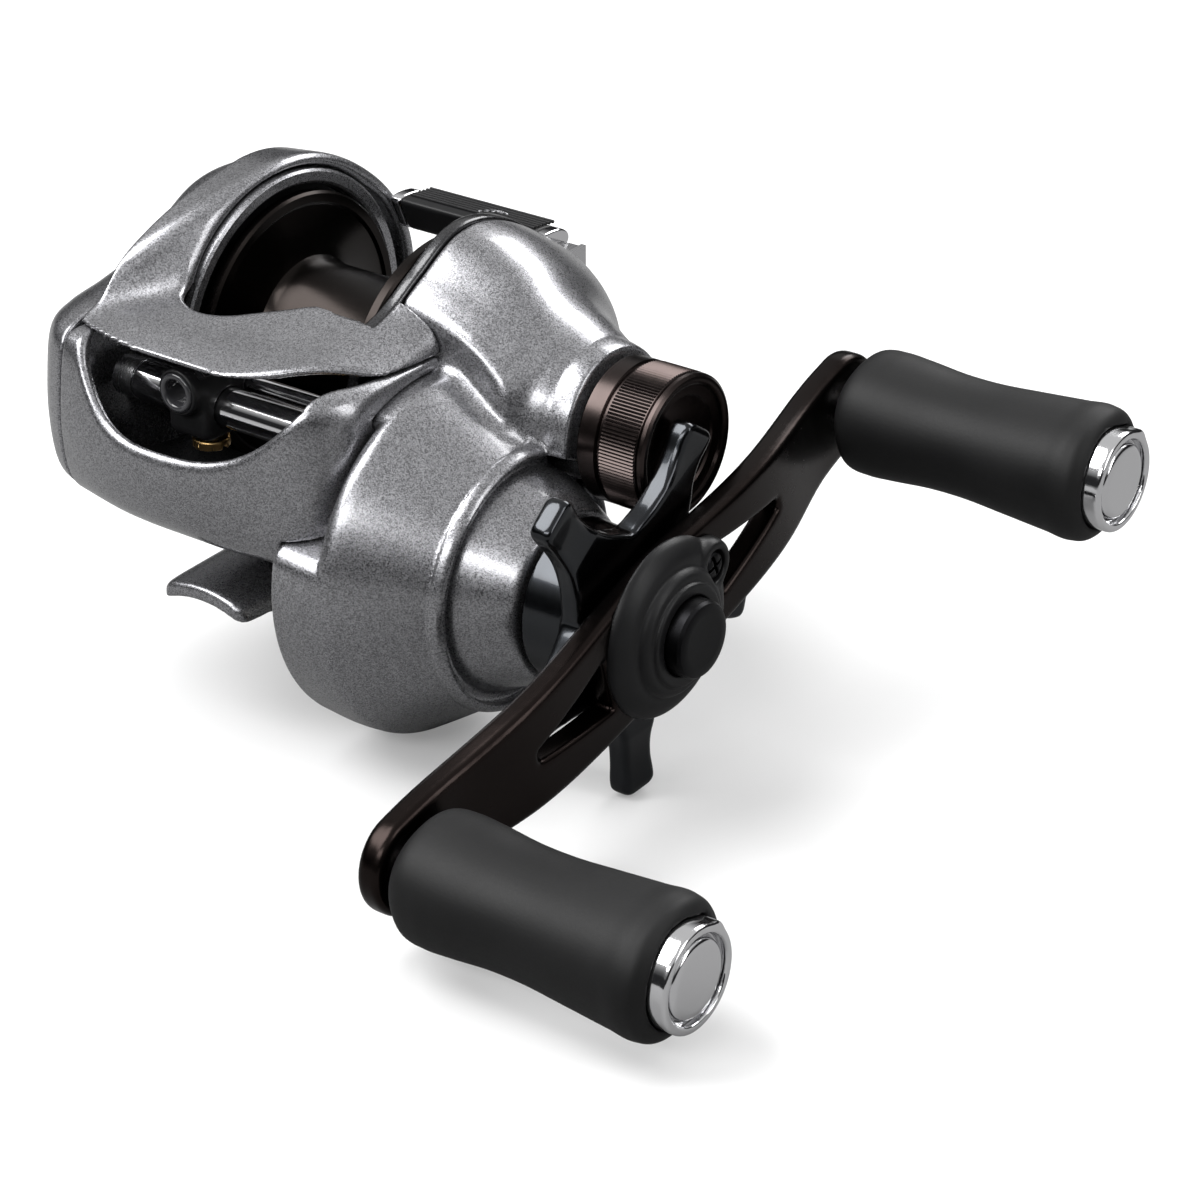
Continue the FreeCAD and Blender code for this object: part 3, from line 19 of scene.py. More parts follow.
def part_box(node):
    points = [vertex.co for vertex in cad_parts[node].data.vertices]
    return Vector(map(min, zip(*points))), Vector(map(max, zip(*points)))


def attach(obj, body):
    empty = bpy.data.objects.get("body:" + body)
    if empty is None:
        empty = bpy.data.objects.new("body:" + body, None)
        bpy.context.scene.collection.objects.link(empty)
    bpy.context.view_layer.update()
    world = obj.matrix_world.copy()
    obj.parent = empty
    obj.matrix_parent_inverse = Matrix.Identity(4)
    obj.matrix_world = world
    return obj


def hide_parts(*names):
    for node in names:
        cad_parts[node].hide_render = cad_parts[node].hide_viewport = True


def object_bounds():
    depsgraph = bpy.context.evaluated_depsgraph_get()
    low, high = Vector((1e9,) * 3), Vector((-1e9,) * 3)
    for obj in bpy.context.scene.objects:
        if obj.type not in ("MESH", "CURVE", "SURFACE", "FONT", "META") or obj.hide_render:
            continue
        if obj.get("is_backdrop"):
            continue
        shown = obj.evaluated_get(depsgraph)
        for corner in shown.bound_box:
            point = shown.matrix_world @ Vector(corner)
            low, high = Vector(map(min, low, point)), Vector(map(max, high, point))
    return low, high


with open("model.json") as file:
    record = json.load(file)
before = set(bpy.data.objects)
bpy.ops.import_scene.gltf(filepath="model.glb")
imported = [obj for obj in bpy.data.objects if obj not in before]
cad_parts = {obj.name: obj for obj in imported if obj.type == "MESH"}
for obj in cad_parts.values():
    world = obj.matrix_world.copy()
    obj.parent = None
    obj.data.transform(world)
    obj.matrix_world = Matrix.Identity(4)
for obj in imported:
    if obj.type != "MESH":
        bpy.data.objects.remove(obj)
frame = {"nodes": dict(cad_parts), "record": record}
CAD_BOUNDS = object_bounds()
LOG = logging.getLogger("reel")
MM = 0.001
FAR = 60
Array = np.ndarray
Point = tuple[float, float, float]
Distance = Callable[[Array, Array, Array], Array]


# ---------------------------------------------------------------- solids by signed distance
def soft_max(a: Array, b: Array, k: float) -> Array:
    """The larger of two distances, with the corner between them rounded.

    Args:
        a: first distance.
        b: second distance.
        k: width of the rounding.

    Returns:
        The blended distance.
    """
    reach = np.maximum(k - np.abs(a - b), 0.0) / k
    return np.maximum(a, b) + reach * reach * (k * 0.25)


class Solid:
    """A form described by its signed distance, negative inside, that can be joined and cut."""

    def __init__(self, distance: Distance) -> None:
        """Keeps the distance function."""
        self.distance = distance

    def __call__(self, x: Array, y: Array, z: Array) -> Array:
        """The distance at some points."""
        return self.distance(x, y, z)

    def join(self, other: "Solid", k: float = 0.5) -> "Solid":
        """This solid and another, with a fillet of about k."""
        return Solid(lambda x, y, z: -soft_max(-self(x, y, z), -other(x, y, z), k))

    def keep(self, other: "Solid", k: float = 0.5) -> "Solid":
        """What this solid shares with another, with rounded edges."""
        return Solid(lambda x, y, z: soft_max(self(x, y, z), other(x, y, z), k))

    def cut(self, other: "Solid", k: float = 0.5) -> "Solid":
        """This solid without another, with rounded edges."""
        return Solid(lambda x, y, z: soft_max(self(x, y, z), -other(x, y, z), k))

    def grown(self, amount: float) -> "Solid":
        """The solid with its surface moved outwards."""
        return Solid(lambda x, y, z: self(x, y, z) - amount)

    def hollow(self, wall: float) -> "Solid":
        """The solid's outer wall only."""
        return Solid(lambda x, y, z: np.abs(self(x, y, z) + wall / 2) - wall / 2)


def slab_x(x0: float, x1: float) -> Solid:
    """The space between two planes across X."""
    return Solid(lambda x, y, z: np.abs(x - (x0 + x1) / 2) - (x1 - x0) / 2 + 0 * y + 0 * z)


def plane(point: Point, normal: Point) -> Solid:
    """The space behind a plane."""
    n = Vector(normal).normalized()
    level = Vector(point).dot(n)
    return Solid(lambda x, y, z: x * n.x + y * n.y + z * n.z - level)


def round_x(y0: float, z0: float, r: float) -> Solid:
    """An endless round bar along X."""
    return Solid(lambda x, y, z: np.hypot(y - y0, z - z0) - r + 0 * x)


def round_y(x0: float, z0: float, r: float) -> Solid:
    """An endless round bar along Y."""
    return Solid(lambda x, y, z: np.hypot(x - x0, z - z0) - r + 0 * y)


def round_z(x0: float, y0: float, r: float) -> Solid:
    """An endless round bar along Z."""
    return Solid(lambda x, y, z: np.hypot(x - x0, y - y0) - r + 0 * z)


def brick(low: Point, high: Point, r: float = 0.0) -> Solid:
    """A box with edges rounded by r."""
    mid = [(a + b) / 2 for a, b in zip(low, high)]
    half = [(b - a) / 2 - r for a, b in zip(low, high)]

    def distance(x: Array, y: Array, z: Array) -> Array:
        """Distance to the rounded box."""
        qx, qy, qz = np.abs(x - mid[0]) - half[0], np.abs(y - mid[1]) - half[1], np.abs(z - mid[2]) - half[2]
        out = np.sqrt(np.maximum(qx, 0) ** 2 + np.maximum(qy, 0) ** 2 + np.maximum(qz, 0) ** 2)
        return out + np.minimum(np.maximum(np.maximum(qx, qy), qz), 0) - r

    return Solid(distance)


def turned(profile: Sequence[tuple[float, float]], y0: float, z0: float, k: float = 0.4) -> Solid:
    """A convex solid of revolution about an axis along X.

    Args:
        profile: (x, radius) points from low x to high x, bulging outwards.
        y0: the axis's y.
        z0: the axis's z.
        k: rounding of its corners.

    Returns:
        The solid.
    """
    sides = []
    for (xa, ra), (xb, rb) in zip(profile, profile[1:]):
        length = math.hypot(xb - xa, rb - ra)
        nx, nr = -(rb - ra) / length, (xb - xa) / length
        sides.append((nx, nr, nx * xa + nr * ra))

    def distance(x: Array, y: Array, z: Array) -> Array:
        """Distance to the turned form."""
        r = np.hypot(y - y0, z - z0)
        found = soft_max(profile[0][0] - x, x - profile[-1][0], k) + 0 * r
        for nx, nr, level in sides:
            found = soft_max(found, nx * x + nr * r - level, k)
        return found

    return Solid(distance)


def prism(points: Sequence[tuple[float, float]], across: str = "x", k: float = 0.4) -> Solid:
    """An endless convex prism.

    Args:
        points: its outline, counter-clockwise, in the two other axes in order.
        across: the axis that it runs along.
        k: rounding of its long edges.

    Returns:
        The solid.
    """
    sides = []
    for (ua, va), (ub, vb) in zip(points, list(points[1:]) + [points[0]]):
        length = math.hypot(ub - ua, vb - va)
        nu, nv = (vb - va) / length, -(ub - ua) / length
        sides.append((nu, nv, nu * ua + nv * va))

    def distance(x: Array, y: Array, z: Array) -> Array:
        """Distance to the prism."""
        u, v = {"x": (y, z), "y": (x, z), "z": (x, y)}[across]
        found = None
        for nu, nv, level in sides:
            side = nu * u + nv * v - level
            found = side if found is None else soft_max(found, side, k)
        return found + 0 * x + 0 * y + 0 * z

    return Solid(distance)


def turned_copy(solid: Solid, y0: float, z0: float, degrees: float) -> Solid:
    """A solid turned about an axis along X."""
    c, s = math.cos(math.radians(degrees)), math.sin(math.radians(degrees))
    return Solid(lambda x, y, z: solid(x, y0 + (y - y0) * c + (z - z0) * s, z0 - (y - y0) * s + (z - z0) * c))


class Mesher:
    """Turns a signed distance into a closed mesh of quads whose points lie on the surface."""

    BLOCK = 4
    EDGES = [((i, j, k), axis) for axis in range(3) for i in range(2) for j in range(2) for k in range(2)
             if (i, j, k)[axis] == 0]

    def __init__(self, step: float) -> None:
        """Keeps the grid spacing in millimetres."""
        self.step = step

    def _sample(self, solid: Solid, low: Array, count: Array) -> Array:
        """Distances on the grid: exact near the surface, rough elsewhere."""
        block, step = self.BLOCK, self.step
        rough_axes = [low[a] + (np.arange(count[a] // block) + 0.5) * block * step - step / 2
            for a in range(3)]
        rough = solid(rough_axes[0][:, None, None], rough_axes[1][None, :, None],
            rough_axes[2][None, None, :])
        values = rough.repeat(block, 0).repeat(block, 1).repeat(block, 2)
        near = np.abs(values) < block * step * 1.9
        at = np.argwhere(near)
        points = low + at * step
        values[near] = solid(points[:, 0], points[:, 1], points[:, 2])
        return values

    def _points(self, values: Array, cells: Array) -> Array:
        """One point in each crossed cell, the mean of its edge crossings."""
        total = np.zeros((len(cells), 3))
        seen = np.zeros(len(cells))
        for corner, axis in self.EDGES:
            a = cells + np.array(corner)
            b = a.copy()
            b[:, axis] += 1
            va, vb = values[tuple(a.T)], values[tuple(b.T)]
            crossed = (va < 0) != (vb < 0)
            share = np.where(crossed, va / np.where(crossed, va - vb, 1), 0)
            place = np.tile(np.array(corner, float), (len(cells), 1))
            place[:, axis] += share
            total += place * crossed[:, None]
            seen += crossed
        return cells + total / seen[:, None]

    def _settle(self, solid: Solid, points: Array) -> Array:
        """Moves the points onto the surface along its slope."""
        h = self.step * 0.2
        for _ in range(3):
            x, y, z = points.T
            here = solid(x, y, z)
            slope = np.stack([solid(x + h, y, z) - solid(x - h, y, z),
                solid(x, y + h, z) - solid(x, y - h, z), solid(x, y, z + h) - solid(x, y, z - h)],
                1) / (2 * h)
            size = np.maximum((slope ** 2).sum(1), 0.05)
            shift = slope * (here / size)[:, None]
            length = np.maximum(np.linalg.norm(shift, axis=1), 1e-9)
            points = points - shift * np.minimum(1, self.step * 0.35 / length)[:, None]
        return points

    def mesh(self, name: str, solid: Solid, low: Point, high: Point) -> bpy.types.Object:
        """Makes the object.

        Args:
            name: its name.
            solid: its form.
            low: lowest corner of the space to look in, in millimetres.
            high: highest corner.

        Returns:
            A mesh object, shaded smooth, in metres.
        """
        first = np.array(low, float) - 2 * self.step
        count = (np.ceil((np.array(high) - first) / self.step / self.BLOCK).astype(int) + 1) * self.BLOCK
        values = self._sample(solid, first, count)
        inside = values < 0
        total = sum(inside[i:count[0] - 1 + i, j:count[1] - 1 + j, k:count[2] - 1 + k].astype(np.int8)
                    for i in range(2) for j in range(2) for k in range(2))
        crossed = (total > 0) & (total < 8)
        cells = np.argwhere(crossed)
        index = np.full(crossed.shape, -1)
        index[crossed] = np.arange(len(cells))
        faces = []
        for w in range(3):
            u, v = (w + 1) % 3, (w + 2) % 3
            a = np.moveaxis(inside, w, 0)
            change = np.moveaxis(a[:-1] != a[1:], 0, w)
            at = np.argwhere(change)
            at = at[(at[:, u] > 0) & (at[:, v] > 0) & (at[:, u] < count[u] - 1) & (at[:, v] < count[v] - 1)]
            du, dv = np.eye(3, dtype=int)[u], np.eye(3, dtype=int)[v]
            quad = np.stack([index[tuple((at - du - dv).T)], index[tuple((at - dv).T)], index[tuple(at.T)],
                             index[tuple((at - du).T)]], 1)
            outward = inside[tuple(at.T)]
            quad[~outward] = quad[~outward][:, ::-1]
            faces.append(quad)
        points = self._settle(solid, first + self._points(values, cells) * self.step)
        made = mesh_object(name, points, np.concatenate(faces))
        LOG.info("%s: %d points", name, len(points))
        return made


def mesh_object(name: str, points: Array, faces: Iterable[Sequence[int]]) -> bpy.types.Object:
    """Makes a smooth mesh object.

    Args:
        name: the object's name.
        points: its points in millimetres.
        faces: point indices of each face.

    Returns:
        The object, linked to the scene, at the origin.
    """
    mesh = bpy.data.meshes.new(name)
    faces = faces.tolist() if isinstance(faces, np.ndarray) else list(faces)
    mesh.from_pydata((np.asarray(points, float) * MM).tolist(), [], faces)
    mesh.shade_smooth()
    made = bpy.data.objects.new(name, mesh)
    bpy.context.scene.collection.objects.link(made)
    return made


def lathe(name: str, profile: Sequence[tuple[float, float]], y0: float, z0: float, around: int = 96,
          crease: float = 35.0) -> bpy.types.Object:
    """A turned piece about an axis along X.

    Args:
        name: the object's name.
        profile: closed outline of (x, radius) points; radius 0 stands on the axis.
        y0: the axis's y.
        z0: the axis's z.
        around: segments.
        crease: edges sharper than this many degrees stay sharp.

    Returns:
        The object.
    """
    work = bmesh.new()
    outline = [work.verts.new((x * MM, y0 * MM, (z0 + r) * MM)) for x, r in profile]
    edges = [work.edges.new((a, b)) for a, b in zip(outline, outline[1:] + outline[:1])
             if not (a.co.z == z0 * MM and b.co.z == z0 * MM)]
    bmesh.ops.spin(work, geom=outline + edges, cent=(0, y0 * MM, z0 * MM), axis=(1, 0, 0), angle=math.tau,
                   steps=around, use_duplicate=False)
    bmesh.ops.remove_doubles(work, verts=work.verts, dist=1e-6)
    bmesh.ops.dissolve_degenerate(work, edges=work.edges, dist=1e-7)
    bmesh.ops.recalc_face_normals(work, faces=work.faces)
    mesh = bpy.data.meshes.new(name)
    work.to_mesh(mesh)
    work.free()
    mesh.shade_smooth()
    mesh.set_sharp_from_angle(angle=math.radians(crease))
    made = bpy.data.objects.new(name, mesh)
    bpy.context.scene.collection.objects.link(made)
    return made


# ---------------------------------------------------------------- places read from the frame
def corner(node: str) -> tuple[Vector, Vector]:
    """The lowest and highest corner of a CAD node, in millimetres."""
    low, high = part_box(node)
    return low / MM, high / MM


def span(name: str) -> tuple[float, float]:
    """Where a CAD node starts and ends along X, in millimetres."""
    low, high = corner(name)
    return low.x, high.x


def centre(node: str) -> Vector:
    """The middle of a CAD node, in millimetres."""
    low, high = corner(node)
    return (low + high) / 2


@dataclass(frozen=True)
class Axes:
    """The axes that the pieces turn on, as (y, z) in millimetres, all along X."""

    spool: tuple[float, float] = tuple(centre("spool_shaft").yz)
    drive: tuple[float, float] = tuple(centre("drive_shaft").yz)
    worm: tuple[float, float] = tuple(centre("worm_guard_tube").yz)
    rod: tuple[float, float] = tuple(centre("guide_rod").yz)
    front_knob: tuple[float, float] = tuple(centre("knob_pin_front").yz)
    rear_knob: tuple[float, float] = tuple(centre("knob_pin_rear").yz)


AXES = Axes()
FINE = Mesher(0.3)
SMALL = Mesher(0.2)


# ---------------------------------------------------------------- shader maths
class Socket:
    """A value in a material, with the arithmetic that the finishes use."""

    def __init__(self, shader: "Shader", link: bpy.types.NodeSocket) -> None:
        """Keeps the material's builder and the output socket."""
        self.shader = shader
        self.link = link

    def _math(self, operation: str, first: "Number", second: "Number") -> "Socket":
        """One Math node."""
        return self.shader.node("ShaderNodeMath", {"operation": operation}, {0: first, 1: second})[0]

    def __add__(self, other: "Number") -> "Socket":
        """Sum."""
        return self._math("ADD", self, other)

    def __sub__(self, other: "Number") -> "Socket":
        """Difference."""
        return self._math("SUBTRACT", self, other)

    def __mul__(self, other: "Number") -> "Socket":
        """Product."""
        return self._math("MULTIPLY", self, other)

    def __rsub__(self, other: "Number") -> "Socket":
        """Difference from a number."""
        return self._math("SUBTRACT", other, self)

    __radd__ = __add__
    __rmul__ = __mul__

    def over(self, level: "Number") -> "Socket":
        """1 where the value is above a level, else 0."""
        return self._math("GREATER_THAN", self, level)


Number = Union[float, Socket]


class Shader:
    """Builds one node material round a Principled shader."""

    def __init__(self, name: str) -> None:
        """Makes the material and its shader node."""
        self.material = bpy.data.materials.new(name)
        self.material.use_nodes = True
        self.tree = self.material.node_tree
        self.surface = self.tree.nodes["Principled BSDF"]
        self.place = Socket(self, self.tree.nodes.new("ShaderNodeTexCoord").outputs["Object"])

    def node(self, kind: str, settings: dict, inputs: dict) -> list[Socket]:
        """Adds a node.

        Args:
            kind: its type.
            settings: attributes, set first; "stops" fills a colour ramp.
            inputs: socket names or numbers to values or sockets.

        Returns:
            Its output sockets.
        """
        made = self.tree.nodes.new(kind)
        for key, value in settings.items():
            if key == "stops":
                ramp = made.color_ramp.elements
                for i, (at, shade) in enumerate(value):
                    stop = ramp[i] if i < len(ramp) else ramp.new(at)
                    stop.position = at
                    stop.color = (shade, shade, shade, 1) if isinstance(shade, float) else (*shade, 1)
            else:
                setattr(made, key, value)
        for key, value in inputs.items():
            if isinstance(value, Socket):
                self.tree.links.new(value.link, made.inputs[key])
            else:
                made.inputs[key].default_value = value
        return [Socket(self, out) for out in made.outputs]

    def noise(self, scale: float, detail: float = 2.0, stretch: Optional[Point] = None) -> Socket:
        """Noise over the piece's own coordinates, from 0 to 1."""
        place = self.place
        if stretch:
            place = self.node("ShaderNodeMapping", {}, {"Vector": place, "Scale": stretch})[0]
        return self.node("ShaderNodeTexNoise", {}, {"Vector": place, "Scale": scale, "Detail": detail})[0]

    def ramp(self, value: Socket, *stops: tuple[float, Union[float, Point]]) -> Socket:
        """A colour ramp."""
        return self.node("ShaderNodeValToRGB", {"stops": stops}, {0: value})[0]

    def mix(self, share: Number, a: Union[Point, Socket], b: Union[Point, Socket]) -> Socket:
        """A mix of two colours."""
        made = self.tree.nodes.new("ShaderNodeMix")
        made.data_type = "RGBA"
        for index, value in ((0, share), (6, a), (7, b)):
            if isinstance(value, Socket):
                self.tree.links.new(value.link, made.inputs[index])
            else:
                made.inputs[index].default_value = value if index == 0 else (*value, 1)
        return Socket(self, made.outputs[2])

    def set(self, **values: object) -> None:
        """Sets the surface's sockets; underscores in a name stand for spaces."""
        for key, value in values.items():
            target = self.surface.inputs[key.replace("_", " ")]
            if isinstance(value, Socket):
                self.tree.links.new(value.link, target)
            else:
                target.default_value = (*value, 1) if isinstance(value, tuple) else value

    def bump(self, height: Socket, depth: float) -> None:
        """A bump of a depth in millimetres."""
        normal = self.node("ShaderNodeBump", {}, {"Height": height, "Strength": 1.0,
            "Distance": depth * MM})[0]
        self.tree.links.new(normal.link, self.surface.inputs["Normal"])


# ---------------------------------------------------------------- finishes
@dataclass(frozen=True)
class FlakePaint:
    """Metal-flake paint under a clear gloss coat."""

    name: str
    light: Point
    dark: Point
    flake_scale: float = 9000.0

    def build(self) -> bpy.types.Material:
        """Makes the material."""
        s = Shader(self.name)
        flakes = s.node("ShaderNodeTexVoronoi", {}, {"Vector": s.place, "Scale": self.flake_scale})[1]
        sparkle = s.node("ShaderNodeSeparateColor", {}, {"Color": flakes})[0]
        cloud = s.noise(90.0, 3.0)
        colour = s.mix(s.ramp(sparkle, (0.15, 0.0), (0.95, 1.0)), self.dark, self.light)
        colour = s.mix(s.ramp(cloud, (0.3, 0.0), (0.7, 0.12)), colour, self.dark)
        s.set(Base_Color=colour, Metallic=0.92, Roughness=sparkle * 0.10 + 0.26, Coat_Weight=0.7)
        s.surface.inputs["Coat Roughness"].default_value = 0.10
        s.bump(sparkle, 0.0025)
        return s.material


@dataclass(frozen=True)
class Metal:
    """A metal with its own polish and turning marks."""

    name: str
    colour: Point
    roughness: float
    grain: float = 0.0
    stretch: Point = (1.0, 1.0, 1.0)
    grain_scale: float = 900.0
    coat: float = 0.0

    def build(self) -> bpy.types.Material:
        """Makes the material."""
        s = Shader(self.name)
        grain = s.noise(self.grain_scale, 3.0, self.stretch)
        smear = s.noise(60.0, 4.0)
        worn = tuple(min(1.0, c * 1.25 + 0.004) for c in self.colour)
        s.set(Base_Color=s.mix(s.ramp(smear, (0.35, 0.0), (0.75, 1.0)), self.colour, worn), Metallic=1.0,
              Roughness=grain * 0.10 + smear * 0.08 + (self.roughness - 0.09), Coat_Weight=self.coat)
        if self.grain:
            s.bump(grain, self.grain)
        return s.material


@dataclass(frozen=True)
class Plastic:
    """A moulded plastic, rubber or ceramic."""

    name: str
    colour: Point
    roughness: float
    grain: float = 0.004
    grain_scale: float = 2600.0
    coat: float = 0.0
    specular: float = 0.25

    def build(self) -> bpy.types.Material:
        """Makes the material."""
        s = Shader(self.name)
        grain = s.noise(self.grain_scale, 2.0)
        smear = s.noise(70.0, 4.0)
        rubbed = tuple(c * 1.5 + 0.003 for c in self.colour)
        s.set(Base_Color=s.mix(s.ramp(smear, (0.4, 0.0), (0.8, 1.0)), self.colour, rubbed),
              Roughness=grain * 0.08 + smear * 0.10 + (self.roughness - 0.09), Coat_Weight=self.coat)
        s.surface.inputs["Specular IOR Level"].default_value = self.specular
        s.bump(grain, self.grain)
        return s.material


@dataclass(frozen=True)
class CarbonWeave:
    """Woven carbon friction material."""

    name: str

    def build(self) -> bpy.types.Material:
        """Makes the material."""
        s = Shader(self.name)
        weave = s.node("ShaderNodeTexChecker", {}, {"Vector": s.place, "Scale": 900.0, "Color1": (1, 1, 1, 1),
                                                    "Color2": (0, 0, 0, 1)})[1]
        s.set(Base_Color=s.mix(weave, (0.02, 0.02, 0.02), (0.07, 0.07, 0.075)), Roughness=weave * 0.2 + 0.4)
        s.bump(weave, 0.02)
        return s.material


class Finish(Enum):
    """The finishes of the reel, each tied to a material slot of the record."""

    PAINT = ("silver_paint", FlakePaint("flake_paint", (0.42, 0.42, 0.44), (0.15, 0.15, 0.158)))
    # The frame is silver on the real reel; this dark colour is painted shade for the dim inside of the reel.
    FRAME = ("dark_frame", FlakePaint("frame_painted_shade", (0.060, 0.060, 0.063), (0.022, 0.022, 0.024)))
    SPOOL = ("spool_anodised", Metal("spool_anodising", (0.014, 0.0115, 0.0105), 0.22, 0.003, (1, 8, 8),
        500.0))
    ARM = ("dark_anodised", Metal("arm_anodising", (0.0155, 0.0115, 0.0105), 0.25, 0.003))
    CAP = ("dark_anodised", Metal("cap_anodising", (0.042, 0.033, 0.031), 0.25, 0.002))
    STAR = ("gloss_dark", Metal("star_gunmetal", (0.022, 0.024, 0.027), 0.20, 0.0, coat=0.35))
    BLACK = ("matte_black", Plastic("matte_black_plastic", (0.0045, 0.0045, 0.005), 0.42))
    KNOB = ("knob_rubber", Plastic("soft_touch_knob", (0.0035, 0.0035, 0.0037), 0.56, 0.008, 3200.0))
    CHROME = ("polished_chrome", Metal("polished_chrome", (0.50, 0.485, 0.47), 0.14))
    BRASS = ("brass", Metal("machined_brass", (0.55, 0.36, 0.15), 0.28, 0.004, (6, 1, 1), 500.0))
    CERAMIC = ("dark_ceramic", Plastic("eye_ceramic", (0.020, 0.020, 0.022), 0.16, 0.0005, coat=0.7))
    CARBON = ("carbon_fibre", CarbonWeave("carbon_weave"))
    STEEL = ("steel", Metal("turned_steel", (0.50, 0.50, 0.51), 0.26, 0.003, (8, 1, 1), 500.0))
    WHITE = ("white_plastic", Plastic("acetal", (0.62, 0.62, 0.59), 0.40))
    NUT = ("black_nut", Metal("black_nut_steel", (0.012, 0.012, 0.013), 0.36, 0.002))

    @property
    def slot(self) -> str:
        """The record's slot name."""
        return self.value[0]

    def material(self) -> bpy.types.Material:
        """The material, made once."""
        recipe = self.value[1]
        return bpy.data.materials.get(recipe.name) or recipe.build()


def dress(piece: bpy.types.Object, finish: Finish, body: str, *nodes: str) -> bpy.types.Object:
    """Gives a piece its finish and its body, and hides the CAD nodes that it stands for.

    Args:
        piece: the mesh object.
        finish: its finish.
        body: the CAD body that it rides on.
        nodes: CAD nodes that it replaces.

    Returns:
        The piece.
    """
    piece.data.materials.clear()
    piece.data.materials.append(finish.material())
    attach(piece, body)
    finish.slot
    if nodes:
        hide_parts(*nodes)
    LOG.info("piece %s on %s", piece.name, body)
    return piece


# ---------------------------------------------------------------- repeats by geometry nodes
class RepeatTree:
    """A geometry-node tree that repeats one small part round an axis or along a line."""

    def __init__(self, name: str) -> None:
        """Makes the tree with its output."""
        self.tree = bpy.data.node_groups.new(name, "GeometryNodeTree")
        self.tree.interface.new_socket("Geometry", in_out="OUTPUT", socket_type="NodeSocketGeometry")
        self.inputs: dict[str, str] = {}
        self.source = self.tree.nodes.new("NodeGroupInput")

    def number(self, name: str, whole: bool = False) -> bpy.types.NodeSocket:
        """Adds a named input and returns its socket."""
        kind = "NodeSocketInt" if whole else "NodeSocketFloat"
        made = self.tree.interface.new_socket(name, in_out="INPUT", socket_type=kind)
        self.inputs[name] = made.identifier
        return self.source.outputs[name]

    def node(self, kind: str, settings: dict, inputs: dict) -> bpy.types.Node:
        """Adds a node with settings, then values or links on its inputs."""
        made = self.tree.nodes.new(kind)
        for key, value in settings.items():
            setattr(made, key, value)
        for key, value in inputs.items():
            if isinstance(value, bpy.types.NodeSocket):
                self.tree.links.new(value, made.inputs[key])
            else:
                made.inputs[key].default_value = value
        return made

    def close(self, geometry: bpy.types.NodeSocket, material: bpy.types.Material) -> None:
        """Ends the tree: real geometry with its material."""
        real = self.node("GeometryNodeRealizeInstances", {}, {"Geometry": geometry})
        dressed = self.node("GeometryNodeSetMaterial", {}, {"Geometry": real.outputs[0],
            "Material": material})
        out = self.tree.nodes.new("NodeGroupOutput")
        self.tree.links.new(dressed.outputs[0], out.inputs[0])

    def bake(self, name: str, values: dict[str, Union[int, float]], place: Matrix) -> bpy.types.Object:
        """Runs the tree and returns a plain mesh object.

        Args:
            name: the object's name.
            values: the named inputs' values.
            place: where the result goes, in metres.

        Returns:
            The object, at the origin.
        """
        holder = bpy.data.objects.new(name + "_source", bpy.data.meshes.new(name + "_source"))
        bpy.context.scene.collection.objects.link(holder)
        modifier = holder.modifiers.new("repeat", "NODES")
        modifier.node_group = self.tree
        for key, value in values.items():
            modifier[self.inputs[key]] = value
        bpy.context.view_layer.update()
        evaluated = holder.evaluated_get(bpy.context.evaluated_depsgraph_get())
        mesh = bpy.data.meshes.new_from_object(evaluated)
        bpy.data.objects.remove(holder)
        mesh.transform(place)
        made = bpy.data.objects.new(name, mesh)
        bpy.context.scene.collection.objects.link(made)
        return made


def ring_of_ribs(name: str, finish: Finish, count: int, radius: float, length: float, width: float,
                 at: Point, sides: int = 4) -> bpy.types.Object:
    """Ribs, pips or pins spaced evenly round an axis along X.

    Args:
        name: the object's name.
        finish: their finish.
        count: how many.
        radius: the circle that they stand on.
        length: each one's length along X.
        width: each one's width.
        at: the middle of the ring.
        sides: how many sides a rib has.

    Returns:
        The object.
    """
    t = RepeatTree(name + "_tree")
    count_in, radius_in = t.number("Count", whole=True), t.number("Ring radius")
    length_in, width_in = t.number("Rib length"), t.number("Rib radius")
    circle = t.node("GeometryNodeMeshCircle", {}, {"Vertices": count_in, "Radius": radius_in})
    rib = t.node("GeometryNodeMeshCylinder", {}, {"Vertices": sides, "Radius": width_in, "Depth": length_in})
    share = t.node("ShaderNodeMath", {"operation": "DIVIDE"}, {0: math.tau, 1: count_in})
    index = t.node("GeometryNodeInputIndex", {}, {})
    angle = t.node("ShaderNodeMath", {"operation": "MULTIPLY"}, {0: share.outputs[0], 1: index.outputs[0]})
    turn = t.node("ShaderNodeCombineXYZ", {}, {"Z": angle.outputs[0]})
    ribs = t.node("GeometryNodeInstanceOnPoints", {}, {"Points": circle.outputs[0],
        "Instance": rib.outputs[0], "Rotation": turn.outputs[0]})
    t.close(ribs.outputs[0], finish.material())
    place = Matrix.Translation(Vector(at) * MM) @ Matrix.Rotation(math.pi / 2, 4, "Y")
    return t.bake(name, {"Count": count, "Ring radius": radius * MM, "Rib length": length * MM,
                         "Rib radius": width / 2 * MM}, place)


